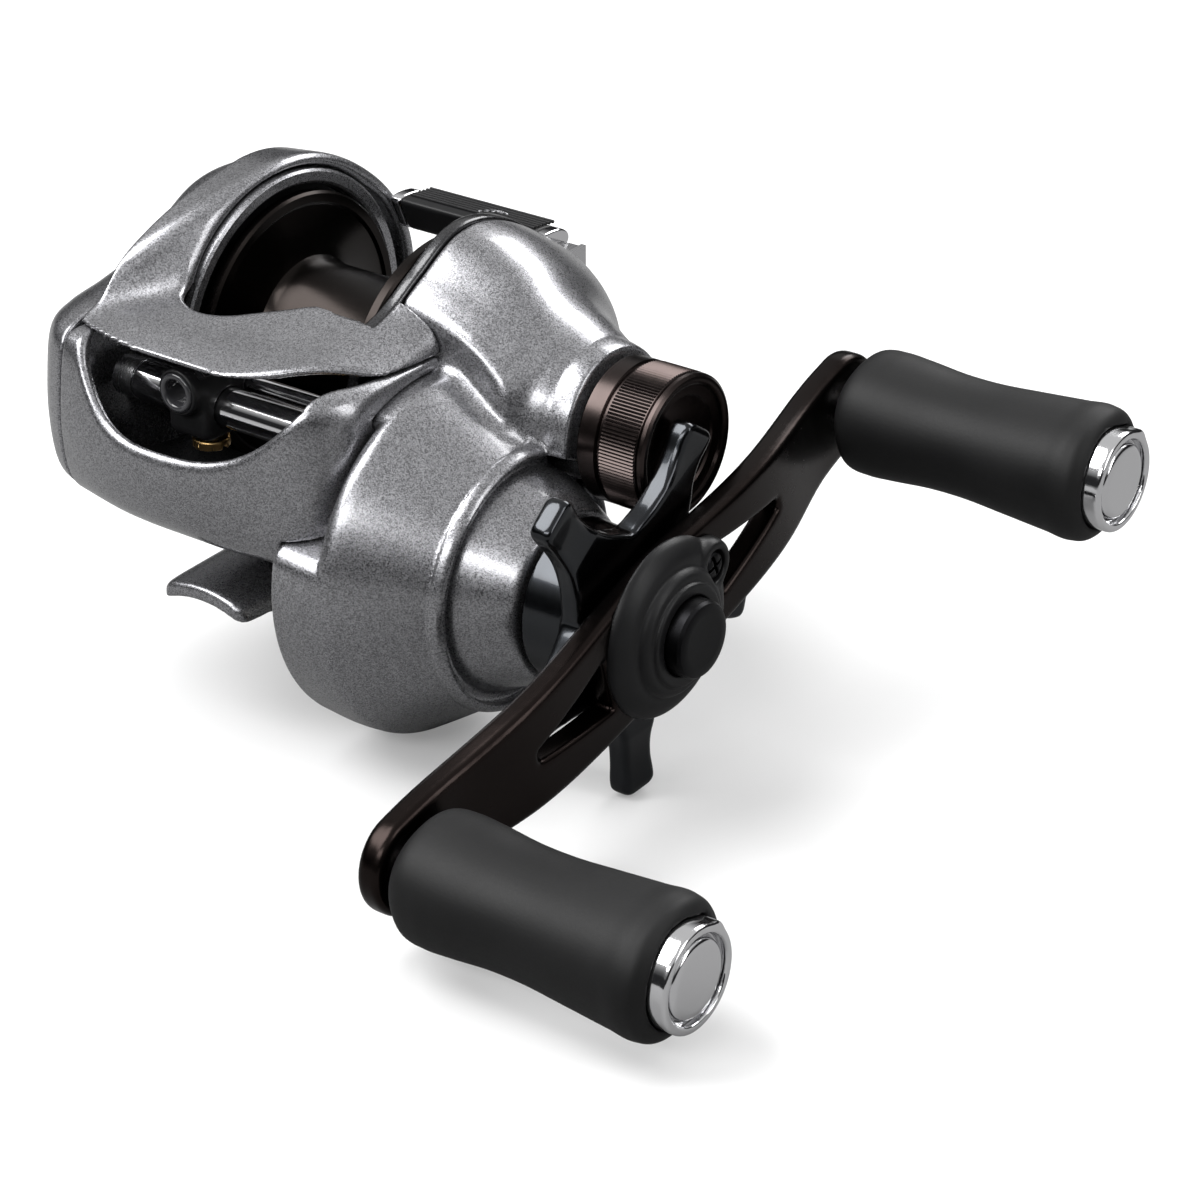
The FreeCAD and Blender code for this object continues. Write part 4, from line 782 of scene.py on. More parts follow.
def row_of_ribs(name: str, finish: Finish, count: int, gap: float, length: float, width: float,
                at: Point, tilt: float) -> bpy.types.Object:
    """Straight ribs side by side, each along X.

    Args:
        name: the object's name.
        finish: their finish.
        count: how many.
        gap: spacing.
        length: each one's length along X.
        width: each one's width.
        at: the middle of the row.
        tilt: the row's slope from +Y towards +Z, in degrees.

    Returns:
        The object.
    """
    t = RepeatTree(name + "_tree")
    count_in, gap_in = t.number("Count", whole=True), t.number("Gap")
    length_in, width_in = t.number("Rib length"), t.number("Rib radius")
    step = t.node("ShaderNodeCombineXYZ", {}, {"X": gap_in})
    line = t.node("GeometryNodeMeshLine", {}, {"Count": count_in, "Offset": step.outputs[0]})
    rib = t.node("GeometryNodeMeshCylinder", {}, {"Vertices": 10, "Radius": width_in, "Depth": length_in})
    ribs = t.node("GeometryNodeInstanceOnPoints", {}, {"Points": line.outputs[0], "Instance": rib.outputs[0]})
    t.close(ribs.outputs[0], finish.material())
    slope = Matrix.Rotation(math.radians(tilt), 4, "X")
    lay = Matrix(((0, 0, 1, 0), (1, 0, 0, 0), (0, 1, 0, 0), (0, 0, 0, 1)))
    centre_row = Matrix.Translation((-(count - 1) * gap / 2 * MM, 0, 0))
    place = Matrix.Translation(Vector(at) * MM) @ slope @ lay @ centre_row
    return t.bake(name, {"Count": count, "Gap": gap * MM, "Rib length": length * MM,
        "Rib radius": width / 2 * MM}, place)


def weld(name: str, *parts: bpy.types.Object) -> bpy.types.Object:
    """Joins several mesh objects into one plain object."""
    work = bmesh.new()
    for part in parts:
        work.from_mesh(part.data)
    mesh = bpy.data.meshes.new(name)
    work.to_mesh(mesh)
    work.free()
    for part in parts:
        bpy.data.objects.remove(part)
    made = bpy.data.objects.new(name, mesh)
    bpy.context.scene.collection.objects.link(made)
    return made


# ---------------------------------------------------------------- the body's skin
def smooth_through(at: Sequence[float], values: Sequence[float], where: Array) -> Array:
    """A smooth curve through points, held flat past its ends."""
    at, values = np.array(at, float), np.array(values, float)
    slope = np.gradient(values, at)
    where = np.clip(where, at[0], at[-1])
    i = np.clip(np.searchsorted(at, where) - 1, 0, len(at) - 2)
    gap = at[i + 1] - at[i]
    t = (where - at[i]) / gap
    return ((2 * t ** 3 - 3 * t ** 2 + 1) * values[i] + (t ** 3 - 2 * t ** 2 + t) * gap * slope[i]
            + (3 * t ** 2 - 2 * t ** 3) * values[i + 1] + (t ** 3 - t ** 2) * gap * slope[i + 1])


@dataclass(frozen=True)
class Skin:
    """The smooth outer form that the hood, the guard and the side covers share."""

    outline: tuple[tuple[float, float], ...] = ((-36.2, -4.5), (-35.4, 2.0), (-33.4, 7.4), (-29.0, 9.4),
        (-22.0, 10.6), (-14.0, 12.6), (-8.0, 15.8), (-1.0, 19.3), (6.0, 19.2), (14.0, 15.6), (20.6, 10.4),
        (24.0, 3.0), (22.6, -6.0), (16.5, -13.4), (5.0, -17.6), (-10.0, -17.4), (-24.0, -15.6),
        (-33.0, -11.6))
    middle: tuple[float, float] = (-6.0, 0.0)

    def radii(self) -> tuple[Array, Array]:
        """The outline's angles and radii about its middle."""
        points = np.array(self.outline) - np.array(self.middle)
        ring = np.arange(len(points) + 7) - 3
        dense = np.linspace(0, len(points), 721)[:-1]
        y = smooth_through(ring, points[ring % len(points), 0], dense)
        z = smooth_through(ring, points[ring % len(points), 1], dense)
        angle = np.arctan2(z, y)
        order = np.argsort(angle)
        return angle[order], np.hypot(y, z)[order]

    def solid(self, sections: Sequence[tuple[float, float, float]]) -> Solid:
        """The skin scaled by sections along X.

        Args:
            sections: (x, share in y, share in z) from low x to high x.

        Returns:
            The endless solid; it is trimmed by its user.
        """
        angles, radii = self.radii()
        at = [section[0] for section in sections]
        cy, cz = AXES.spool[0] + self.middle[0], AXES.spool[1] + self.middle[1]

        def distance(x: Array, y: Array, z: Array) -> Array:
            """Distance to the skin."""
            share_y = smooth_through(at, [section[1] for section in sections], x)
            share_z = smooth_through(at, [section[2] for section in sections], x)
            v, w = (y - cy) / share_y, (z - cz) / share_z
            reach = np.interp(np.arctan2(w, v), angles, radii, period=math.tau)
            return (np.hypot(v, w) - reach) * np.minimum(share_y, share_z) * 0.92

        return Solid(distance)


ARCH = Skin(((-36.2, -4.5), (-34.8, 3.5), (-29.0, 10.8), (-18.0, 16.8), (-6.0, 20.2), (4.0, 20.4),
    (13.0, 17.2), (20.6, 11.0), (24.0, 3.0), (22.6, -6.0), (16.5, -13.4), (5.0, -17.6), (-10.0, -17.4),
    (-24.0, -15.6), (-33.0, -11.6)))


@dataclass(frozen=True)
class Housing:
    """The fixed outside of the reel: hood, line guard, gear-side cover, frame and foot."""

    wall: float = 1.6
    seam_x: float = 14.4
    cover_x: float = 14.55
    corner_back: float = -11.4
    lobe_radius: float = 21.6
    ring_radius: float = 19.5
    ring_bore: float = 17.6
    ring_in: float = 12.6
    ring_out: float = 15.8
    lip_height: float = 8.4
    cheek_height: float = -6.4
    skin: Skin = Skin()
    sections: tuple[tuple[float, float, float], ...] = (
        (-18.8, 0.93, 0.97), (-10.0, 0.985, 1.0), (0.0, 1.0, 1.0), (9.0, 0.985, 1.0), (16.0, 0.93, 0.96),
        (20.4, 0.78, 0.82))

    def swept_front(self, stations: Sequence[tuple[float, float]]) -> Solid:
        """What lies behind a front edge that curves in plan.

        Args:
            stations: (x, y) along the edge.

        Returns:
            The endless solid.
        """
        at, edge = [p[0] for p in stations], [p[1] for p in stations]

        def distance(x: Array, y: Array, z: Array) -> Array:
            """Distance to the curved front, measured square to it."""
            slope = (smooth_through(at, edge, x + 0.5) - smooth_through(at, edge, x - 0.5))
            return (smooth_through(at, edge, x) - y) / np.sqrt(1 + slope ** 2) + 0 * z

        return Solid(distance)

    def nose(self, inset: float) -> Solid:
        """The nose: a low saddle in the middle that rises to an arch round the left ring."""
        low = self.skin.solid(self.sections)
        high = ARCH.solid(self.sections)
        y0, z0 = AXES.spool

        def funnel(x: Array, y: Array, z: Array) -> Array:
            """Distance to a cone that opens to the left round the spool's axis."""
            away = -self.ring_in + 0.1 - x
            cone = (np.hypot(y - y0, z - z0) - self.ring_radius - 0.9 - 1.05 * away) * 0.69
            return soft_max(cone, x + self.ring_in - 0.1, 0.8)

        made = low.join(Solid(funnel).keep(high, 1.4), 3.4).grown(-inset)
        front = self.swept_front([(-19, -33.4), (-16, -34.8), (-12, -35.8), (-7, -36.5), (-2, -36.7),
            (4, -35.8), (9, -34.6), (13, -33.6), (16.5, -32.6), (19, -31.0), (20.4, -29.0)]).grown(-inset)
        left, right = plane((inset - 18.8, 0, 0), (-1, 0, 0)), plane((20.4 - inset, 0, 0), (1, 0, 0))
        return made.keep(front, 2.4).keep(left, 0.5).keep(right, 2.0 - 0.5 * inset)

    def window(self) -> Solid:
        """The line window: a wide opening whose lower lip rises at both ends."""
        z0 = AXES.spool[1] - 1.2

        def distance(x: Array, y: Array, z: Array) -> Array:
            """Distance to the window's inside."""
            share = np.where(x > -2.0, (x + 2.0) / 19.6, -(x + 2.0) / 14.2)
            sag = z0 + 9.8 * np.clip(share, 0, 1.2) ** 3.0
            reach = np.where(x > -2.0, x - 16.4, -15.9 - x)
            return np.maximum(np.maximum((sag - z) * 0.62, reach), y - (AXES.worm[0] + 1.0))

        return Solid(distance)

    def cheek(self) -> Solid:
        """Where the nose reaches past the seam, in front of the gear cover."""
        z0 = AXES.spool[1] + self.cheek_height
        low = plane((0, -25.0, z0), (0, 0.28, -1))
        return low.keep(plane((0, -14.6, 0), (0, 1, 0.35)), 3.0).keep(slab_x(self.seam_x - 3, 20.6), 0.2)

    def handle_side(self) -> Solid:
        """The room of the gear-side cover."""
        past = plane((self.seam_x, 0, 0), (-1, 0, 0))
        behind = plane((0, self.corner_back, 0), (0, -1, 0))
        lobe = round_x(*AXES.drive, self.lobe_radius + 0.2).cut(self.cheek(), 0.6)
        return past.keep(behind.join(lobe, 0.2), 0.2)

    def shell(self) -> Solid:
        """The nose's wall, cleared of the frame and of the gear-side cover."""
        wall = self.nose(0.0).cut(self.nose(self.wall), 0.3)
        rings = round_x(*AXES.spool, self.ring_radius + 0.15).keep(
            slab_x(-self.ring_out - 0.4, self.ring_in + 1.8), 0.1)
        bore = round_x(*AXES.spool, self.ring_bore).keep(slab_x(-40, 2.0 - self.ring_in), 0.1)
        return wall.cut(rings, 0.3).cut(bore, 0.4).cut(self.handle_side(), 0.3).keep(
            plane((0, 0, 3.2), (0, 0, -1)), 0.3)

    def front_half(self, drop: float) -> Solid:
        """What lies below the lip's height and in front of the corner where the guard ends."""
        top = plane((0, 0, AXES.spool[1] + self.lip_height - drop), (0, 0, 1))
        return top.keep(plane((0, self.corner_back + 0.4 - drop, 0), (0, 1, 0)), 0.1)

    def hood(self) -> Solid:
        """The hood: a C-shaped canopy round the thumb opening."""
        y0, z0 = AXES.spool
        gap = self.ring_in - 0.3
        sides = brick((-gap, y0 - FAR, z0 - 2), (gap, y0 + FAR, z0 + FAR), 3.0)
        opening = self.swept_front([(-13, -17.4), (-11, -19.8), (-8.5, -21.4), (-4, -21.4), (1, -18.2),
            (6, -14.6), (10, -11.4), (13, -9.0)]).keep(sides, 2.5)
        low = brick((-gap, self.corner_back, z0 - FAR), (FAR, y0 + FAR, z0), 0.5)
        rail = brick((0, y0 + 9.5, z0 - FAR), (FAR, y0 + FAR, z0 + FAR), 1.5)
        room = brick((-12.4, AXES.worm[0] - 6.4, z0 - FAR), (12.4, AXES.rod[0] + 3.0, AXES.worm[1] + 5.0),
            0.5)
        lip = self.swept_front([(-19, -29.0), (-14, -31.9), (-10, -33.2), (-4, -33.6), (4, -32.2),
            (10, -29.0), (14, -25.6), (18, -22.0), (21, -19.5)])
        return self.shell().cut(self.front_half(0.0), 0.5).keep(lip, 0.8).cut(opening, 1.1).cut(low, 0.5).cut(
            rail, 0.8).cut(room, 0.3)

    def guard(self) -> Solid:
        """The line guard under the hood, with the line window."""
        return self.shell().keep(self.front_half(0.2), 0.9).cut(self.window(), 1.1)

    def cover_form(self) -> Solid:
        """The gear-side cover's outside, up to the groove round the drag boss."""
        x0 = self.cover_x
        dy, dz = AXES.drive
        lobe = turned([(x0 - 2, 21.2), (x0 + 5.0, 21.8), (x0 + 8.4, 21.5), (x0 + 9.3, 20.9),
            (x0 + 18.6, 15.4), (x0 + 19.4, 14.2)], dy, dz, 0.3)
        back = self.skin.solid([(x0 - 4, 0.95, 0.97), (x0, 0.93, 0.955), (x0 + 6, 0.86, 0.88),
            (x0 + 11, 0.72, 0.76), (x0 + 15, 0.52, 0.58)])
        back = back.keep(slab_x(x0 - 4, x0 + 15), 2.4).keep(
            plane((0, self.corner_back + 0.2, 0), (0, -1, 0)), 1.2)
        shoulder = turned([(x0 - 2, 12.8), (28.6, 12.2), (33.4, 9.9)], *AXES.spool, 0.6)
        body = back.join(shoulder, 2.6).join(lobe, 1.8)
        rim = turned([(22, 9.9), (34.6, 9.7), (36.4, 9.2)], *AXES.spool, 0.35)
        return body.join(rim, 0.5).cut(self.cheek().grown(0.15), 1.6)

    def drag_cone(self) -> Solid:
        """The cone from the groove to the star drag's seat."""
        x0 = self.cover_x
        return turned([(x0 + 8, 13.6), (x0 + 19.2, 13.4), (38.6, 10.9), (39.9, 10.3), (40.2, 10.0)],
            *AXES.drive, 0.35)

    def ridge(self) -> Solid:
        """The raised line that sweeps from the seam round the lobe's face."""
        x0 = self.cover_x
        dy, dz = AXES.drive
        return turned([(x0 + 18.0, 15.9), (x0 + 19.2, 15.6), (x0 + 19.9, 14.8)], dy, dz, 0.3)

    def cover(self) -> Solid:
        """The gear-side cover: hollow, bored for the drive shaft and the spool shaft."""
        form = self.cover_form()
        groove = round_x(*AXES.drive, 14.6).keep(plane((self.cover_x + 18.4, 0, 0), (-1, 0, 0)), 0.2)
        solid = form.join(self.ridge(), 0.5).cut(groove, 0.3).join(self.drag_cone(), 0.25)
        inside = form.join(self.drag_cone(), 0.3).grown(-self.wall).keep(plane((34.0, 0, 0), (1, 0, 0)), 0.5)
        made = solid.cut(inside, 0.3).keep(plane((self.cover_x, 0, 0), (-1, 0, 0)), 0.5)
        seat = turned([(31.0, 8.6), (40.1, 8.6)], *AXES.drive, 0.2)
        thread = turned([(31.0, 7.0), (43.0, 7.0)], *AXES.spool, 0.2)
        made = made.join(seat, 0.3).join(thread, 0.3)
        made = made.cut(round_x(*AXES.drive, 7.02), 0.2).cut(round_x(*AXES.spool, 5.02), 0.2)
        worm = turned([(self.cover_x - 2, 5.0), (self.cover_x + 4, 5.0)], *AXES.worm, 0.2)
        tab_y, tab_z = centre("clutch_plate").y, corner("clutch_plate")[1].z
        notch = brick((self.cover_x - 2, tab_y, tab_z - 10.4), (self.cover_x + 1.1, FAR, tab_z + 1.0), 0.3)
        return made.cut(worm, 0.2).cut(notch, 0.4)

    def frame_form(self) -> Solid:
        """The one-piece frame."""
        y0, z0 = AXES.spool
        wy, wz = AXES.worm
        nose = prism([(y0 - 9, z0 - 15.5), (y0 - 9, z0 + 15.5), (AXES.rod[0], AXES.rod[1] + 3.0),
            (wy - 3.6, wz + 3.4), (wy - 3.6, wz - 5.5), (wy + 2, wz - 12)][::-1], "x", 0.8)
        plates = round_x(y0, z0, self.ring_radius).join(nose, 0.6)
        left = plates.keep(slab_x(-self.ring_out, -self.ring_in), 0.4).cut(round_x(y0, z0, self.ring_bore),
            0.3)
        right = plates.join(round_x(*AXES.drive, 7.4), 0.6).keep(slab_x(self.ring_in, self.ring_in + 1.6),
            0.4)
        reach = self.ring_in + 0.2
        floor = round_x(y0, z0, self.ring_radius).cut(round_x(y0, z0, self.ring_bore), 0.2).keep(
            brick((-reach, -40, 2.2), (reach, 40, z0 - 11.0), 0.3), 0.3)
        rear = prism([(y0 + 14.9, z0 - 11.4), (y0 + 18.4, z0 - 9.6), (y0 + 18.6, z0 - 5.6),
            (y0 + 16.9, z0 - 6.0)], "x", 0.5).keep(slab_x(-reach, reach), 0.3)
        front = prism([(wy - 2.6, wz - 9.6), (wy + 7.0, wz - 11.0), (wy + 7.0, wz - 9.4),
            (wy - 2.6, wz - 8.0)], "x", 0.4).keep(slab_x(-reach, reach), 0.3)
        made = left.join(right, 0.3).join(floor, 0.5).join(rear, 0.5).join(front, 0.5)
        made = made.keep(plane((0, 0, 2.2), (0, 0, -1)).join(slab_x(8, FAR), 0.3), 0.3)
        made = made.keep(self.skin.solid(self.sections).grown(-0.5).join(slab_x(-FAR, 6), 0.3), 0.3)
        return made.cut(round_x(*AXES.worm, 2.45), 0.2).cut(round_x(*AXES.rod, 1.02), 0.1).cut(
            round_x(*AXES.spool, 5.02).keep(slab_x(0, FAR), 0.1), 0.2).cut(
            round_x(*AXES.drive, 5.02).keep(slab_x(0, FAR), 0.1), 0.2)

    def foot(self) -> Solid:
        """The foot: a tapering strip, concave underneath, thinned towards both tips."""
        low, high = corner("reel_foot")
        end, half = high.y, high.x
        tip = half - 1.0
        plan = prism([(-tip, -end), (tip, -end), (half, -end + 14), (half, end - 14), (tip, end), (-tip, end),
                      (-half, end - 14), (-half, -end + 14)], "z", 1.6)
        crown = Solid(lambda x, y, z: np.hypot(x, z + 14.0) - 16.2
            + 1.1 * np.clip(np.abs(y) / end - 0.45, 0, 1) ** 1.5)
        return crown.keep(plan, 0.9).cut(Solid(lambda x, y, z: np.hypot(x, z + 14.0) - 14.0 + 0 * y),
            0.4).keep(plane((0, 0, low.z), (0, 0, -1)), 0.3)

    def build(self) -> None:
        """Makes and dresses the fixed outside pieces."""
        dress(FINE.mesh("hood_shell", self.hood(), (-19.2, -38, 18), (21, 26, 43)), Finish.PAINT, "body",
            "hood")
        dress(FINE.mesh("line_guard_shell", self.guard(), (-19.2, -38, 2), (21, -9, 32)), Finish.PAINT,
            "body", "line_guard")
        dress(FINE.mesh("gear_cover_shell", self.cover(), (14, -36.5, -17), (43.5, 24, 41)), Finish.PAINT,
            "body", "gear_side_cover")
        # The frame's dark finish is painted shade for the dim inside of the reel; the ring band below stays
        # silver.
        dress(FINE.mesh("reel_frame", self.frame_form(), (-16, -30, -2.5), (14.5, 20, 41)), Finish.FRAME,
            "body", "frame")
        ring = lathe("ring_band", [(-12.7, 17.65), (-12.1, 17.7), (-11.85, 18.0), (-11.85, 19.1),
            (-12.1, 19.4), (-12.7, 19.45)], *AXES.spool, 144)
        dress(ring, Finish.PAINT, "body", "frame")
        dress(FINE.mesh("foot_plate", self.foot(), (-7.5, -31.2, -2.3), (7.5, 31.2, 2.4)), Finish.PAINT,
            "body", "reel_foot")


@dataclass(frozen=True)
class PalmSide:
    """The removable palm-side cover with its brake dial and locking lever."""

    wall: float = 1.6
    inner_x: float = -19.0
    outer_x: float = -28.4

    def form(self) -> Solid:
        """The cover's outside."""
        x0 = self.inner_x
        sections = [(self.outer_x - 0.2, 0.55, 0.62), (x0 - 6.5, 0.76, 0.83), (x0 - 3.5, 0.87, 0.925),
            (x0, 0.925, 0.965)]
        front = Housing().swept_front([(-28.6, -22.5), (-26, -27.6), (-22.5, -31.4), (-19, -33.3),
            (-15, -34.4)])
        return Skin().solid(sections).keep(slab_x(self.outer_x, x0 + 4), 2.2).keep(front, 2.0)

    def build(self) -> None:
        """Makes and dresses the palm side."""
        form = self.form()
        dial, lock = centre("brake_dial"), corner("lock_lever")
        made = form.cut(form.grown(-self.wall), 0.3).keep(plane((self.inner_x, 0, 0), (1, 0, 0)), 0.5)
        pad = turned([(self.outer_x, 8.1), (self.outer_x + 3.4, 8.1)], dial.y, dial.z, 0.3).keep(form, 0.2)
        made = made.join(pad, 0.3).cut(turned([(self.outer_x - 3, 6.8), (self.outer_x + 2.2, 6.8)], dial.y,
            dial.z, 0.2), 0.5)
        made = made.cut(round_x(dial.y, dial.z, 1.55), 0.1)
        spindle = ((lock[0].y + lock[1].y) / 2, lock[0].z + 2.2)
        made = made.cut(round_x(*spindle, 1.55), 0.1)
        dress(FINE.mesh("palm_cover_shell", made, (-28.8, -36, 2), (-18.6, 24, 42)), Finish.PAINT,
            "palm_side", "palm_cover")
        x0 = corner("brake_dial")[0].x
        disc = lathe("dial_disc", [(x0, 0), (x0, 3.4), (x0 + 0.3, 3.7), (x0 + 0.3, 4.6), (x0, 4.9),
            (x0, 5.6), (x0 + 0.3, 6.0), (x0 + 1.7, 6.0), (x0 + 1.7, 1.5), (x0 + 5.7, 1.5), (x0 + 5.7, 0)],
            dial.y, dial.z)
        ribs = ring_of_ribs("dial_ribs", Finish.BLACK, 36, 6.0, 1.3, 0.7, (x0 + 0.95, dial.y, dial.z), 6)
        dress(weld("brake_dial_knob", disc, ribs), Finish.BLACK, "dial", "brake_dial")
        x0, x1 = lock[0].x, lock[1].x
        blade = prism([(spindle[0] - 2.2, spindle[1] - 2.2), (spindle[0] + 2.2, spindle[1] - 2.2),
                       (spindle[0] + 1.6, spindle[1] + 7.0), (spindle[0] - 1.6, spindle[1] + 7.0)], "x", 1.4)
        lever = blade.keep(slab_x(x0, x0 + 1.4), 0.5).join(round_x(*spindle, 1.5).keep(slab_x(x0 + 0.5, x1),
            0.2), 0.4)
        dress(SMALL.mesh("lock_lever_blade", lever, (x0, spindle[0] - 3, spindle[1] - 3),
            (x1, spindle[0] + 3, spindle[1] + 8)), Finish.BLACK, "lock", "lock_lever")


@dataclass(frozen=True)
class LevelWind:
    """The line guide, its eye, the guide rod and the worm's guard tube."""

    snout: float = 2.8
    eye: float = 1.5

    def build(self) -> None:
        """Makes and dresses the level wind."""
        low, high = corner("line_guide")
        wy, wz = AXES.worm
        ry, rz = AXES.rod
        mid_x = (low.x + high.x) / 2
        ring = centre("guide_ring")
        eye_z = ring.z
        body = prism([(wy - 3.8, wz + 3.0), (wy - 3.8, wz - 3.4), (wy + 3.4, wz - 3.4), (ry + 2.0, rz - 1.0),
                      (ry + 2.0, rz + 2.0), (ry - 1.4, rz + 2.6)], "x", 1.2).keep(slab_x(low.x, high.x), 0.8)
        snout = round_y(mid_x, eye_z, self.snout).keep(brick((-FAR, wy - 5.4, -FAR), (FAR, wy, 90)), 0.6)
        trough = round_y(mid_x, eye_z, 2.0).join(brick((mid_x - 2, wy - 3.6, eye_z), (mid_x + 2, 20, FAR)),
            0.3)
        trough = trough.keep(plane((0, wy - 4.0, 0), (0, -1, 0)), 0.2)
        made = body.join(snout, 0.8).cut(trough, 0.5).cut(round_y(mid_x, eye_z,
            2.4).keep(plane((0, wy - 2.0, 0), (0, 1, 0)), .1), .1)
        made = made.cut(round_x(wy, wz, 2.45), 0.2).cut(round_x(ry, rz, 1.05), 0.1)
        dress(SMALL.mesh("line_guide_body", made, (low.x, low.y, low.z), (high.x, high.y, high.z)),
            Finish.BLACK, "line_guide_carriage", "line_guide")
        y0, y1 = corner("guide_ring")[0].y, corner("guide_ring")[1].y
        bore = Solid(lambda x, y, z: np.hypot(x - mid_x, z - eye_z) - self.eye - 0.35 * np.clip(y0
            + 0.7 - y, 0, 1) ** 2)
        eye = round_y(mid_x, eye_z, 2.36).keep(brick((-FAR, y0, -FAR), (FAR, y1, 90)), 0.35).cut(bore, 0.25)
        dress(SMALL.mesh("eye_ring", eye, (mid_x - 2.6, y0, eye_z - 2.6), (mid_x + 2.6, y1, eye_z + 2.6)),
            Finish.CERAMIC, "line_guide_carriage", "guide_ring")
        x0, x1 = span("guide_rod")
        rod = lathe("guide_rod_bar", [(x0, 0), (x0, 0.8), (x0 + 0.2, 1.0), (x1 - 0.2, 1.0), (x1, 0.8),
            (x1, 0)], ry, rz, 48)
        dress(rod, Finish.CHROME, "body", "guide_rod")
        x0, x1 = span("worm_guard_tube")
        tube = round_x(wy, wz, 2.4).keep(slab_x(x0, x1), 0.2).cut(round_x(wy, wz, 2.05), 0.1)
        tube = tube.cut(brick((x0 + 1.6, wy - 1.35, wz - 6), (x1 - 1.6, wy + 1.35, wz), 0.6), 0.2)
        dress(Mesher(0.17).mesh("worm_guard", tube, (x0, wy - 2.5, wz - 2.5), (x1, wy + 2.5, wz + 2.5)),
            Finish.CHROME, "body", "worm_guard_tube")
        cap = centre("pawl_cap")
        top, bottom = corner("pawl_cap")[1].z, corner("pawl_cap")[0].z
        disc = round_z(cap.x, cap.y, 2.2).keep(brick((-FAR, -FAR, bottom), (FAR, FAR, top)), 0.3)
        disc = disc.cut(brick((cap.x - 3, cap.y - 0.35, bottom - 1),
            (cap.x + 3, cap.y + 0.35, bottom + 0.5), 0.1), 0.1)
        dress(SMALL.mesh("pawl_screw_cap", disc, (cap.x - 2.4, cap.y - 2.4, bottom),
            (cap.x + 2.4, cap.y + 2.4, top)), Finish.BRASS, "line_guide_carriage", "pawl_cap")


@dataclass(frozen=True)
class Spool:
    """The line spool."""

    flange: float = 17.0
    arbor: float = 9.0
    half: float = 11.0

    def build(self) -> None:
        """Makes and dresses the spool."""
        r, a, h = self.flange, self.arbor, self.half
        right = [(0, a), (h - 2.6, a), (h - 1.5, a + 0.5), (h - 0.9, a + 1.8), (h - 0.2, r - 2.4),
            (h - 0.1, r - 1.7), (h - 0.4, r - 1.3), (h - 0.4, r - 0.3), (h - 0.1, r), (h + 0.9, r),
            (h + 1.2, r - 0.3), (h + 1.2, r - 1.2), (h + 0.8, r - 1.6), (h + 0.3, r - 2.2),
            (h - 0.1, a + 2.4), (h + 0.1, a + 0.9), (h + 1.2, a + 0.4), (h + 1.2, a - 0.8), (1.0, a - 0.8),
            (0.8, a - 1.2), (0.8, 4.0), (1.4, 3.0), (5.0, 3.0), (5.0, 1.52)]
        left = [(-x, radius) for x, radius in right[::-1]]
        dress(lathe("spool_turning", right + left[:-1], *AXES.spool, 144, 28.0), Finish.SPOOL, "spool_set",
            "spool")


@dataclass(frozen=True)
class ThumbBar:
    """The clutch bar with its grooved pad and bright ends."""

    ribs: int = 6

    def build(self) -> None:
        """Makes and dresses the thumb bar."""
        low, high = corner("thumb_bar")
        y, z, back, drop = low.y, high.z, high.y - low.y, high.z - low.z
        outline = [(y, z - 0.4), (y + 1.9, z - drop), (y + 3.4, z - drop), (y + back - 1.2, z - drop + 1.4),
                   (y + back, z - 2.0), (y + back - 1.0, z - 0.6), (y + 2.5, z)]
        bar = prism(outline, "x", 0.9).keep(slab_x(low.x, high.x), 0.3)
        pad = SMALL.mesh("thumb_pad", bar, (low.x, y - 0.2, low.z), (high.x, high.y, high.z))
        ribs = row_of_ribs("thumb_ribs", Finish.BLACK, self.ribs, 0.72, high.x - low.x - 1.2, 0.42,
                           (0, y + 3.6, z - 0.28), -4.0)
        dress(weld("thumb_bar_pad", pad, ribs), Finish.BLACK, "clutch_bar", "thumb_bar")
        ends = None
        reach = corner("thumb_bar_trims")[1].x
        for x0, x1 in ((-reach, low.x - 0.02), (high.x + 0.02, reach)):
            end = prism(outline, "x", 0.9).keep(slab_x(x0, x1), 0.3)
            ends = end if ends is None else ends.join(end, 0.1)
        dress(Mesher(0.12).mesh("thumb_bar_ends", ends, (-reach, y - 0.2, low.z - 0.2),
            (reach, high.y + 0.2, high.z + 0.2)), Finish.CHROME, "clutch_bar", "thumb_bar_trims")


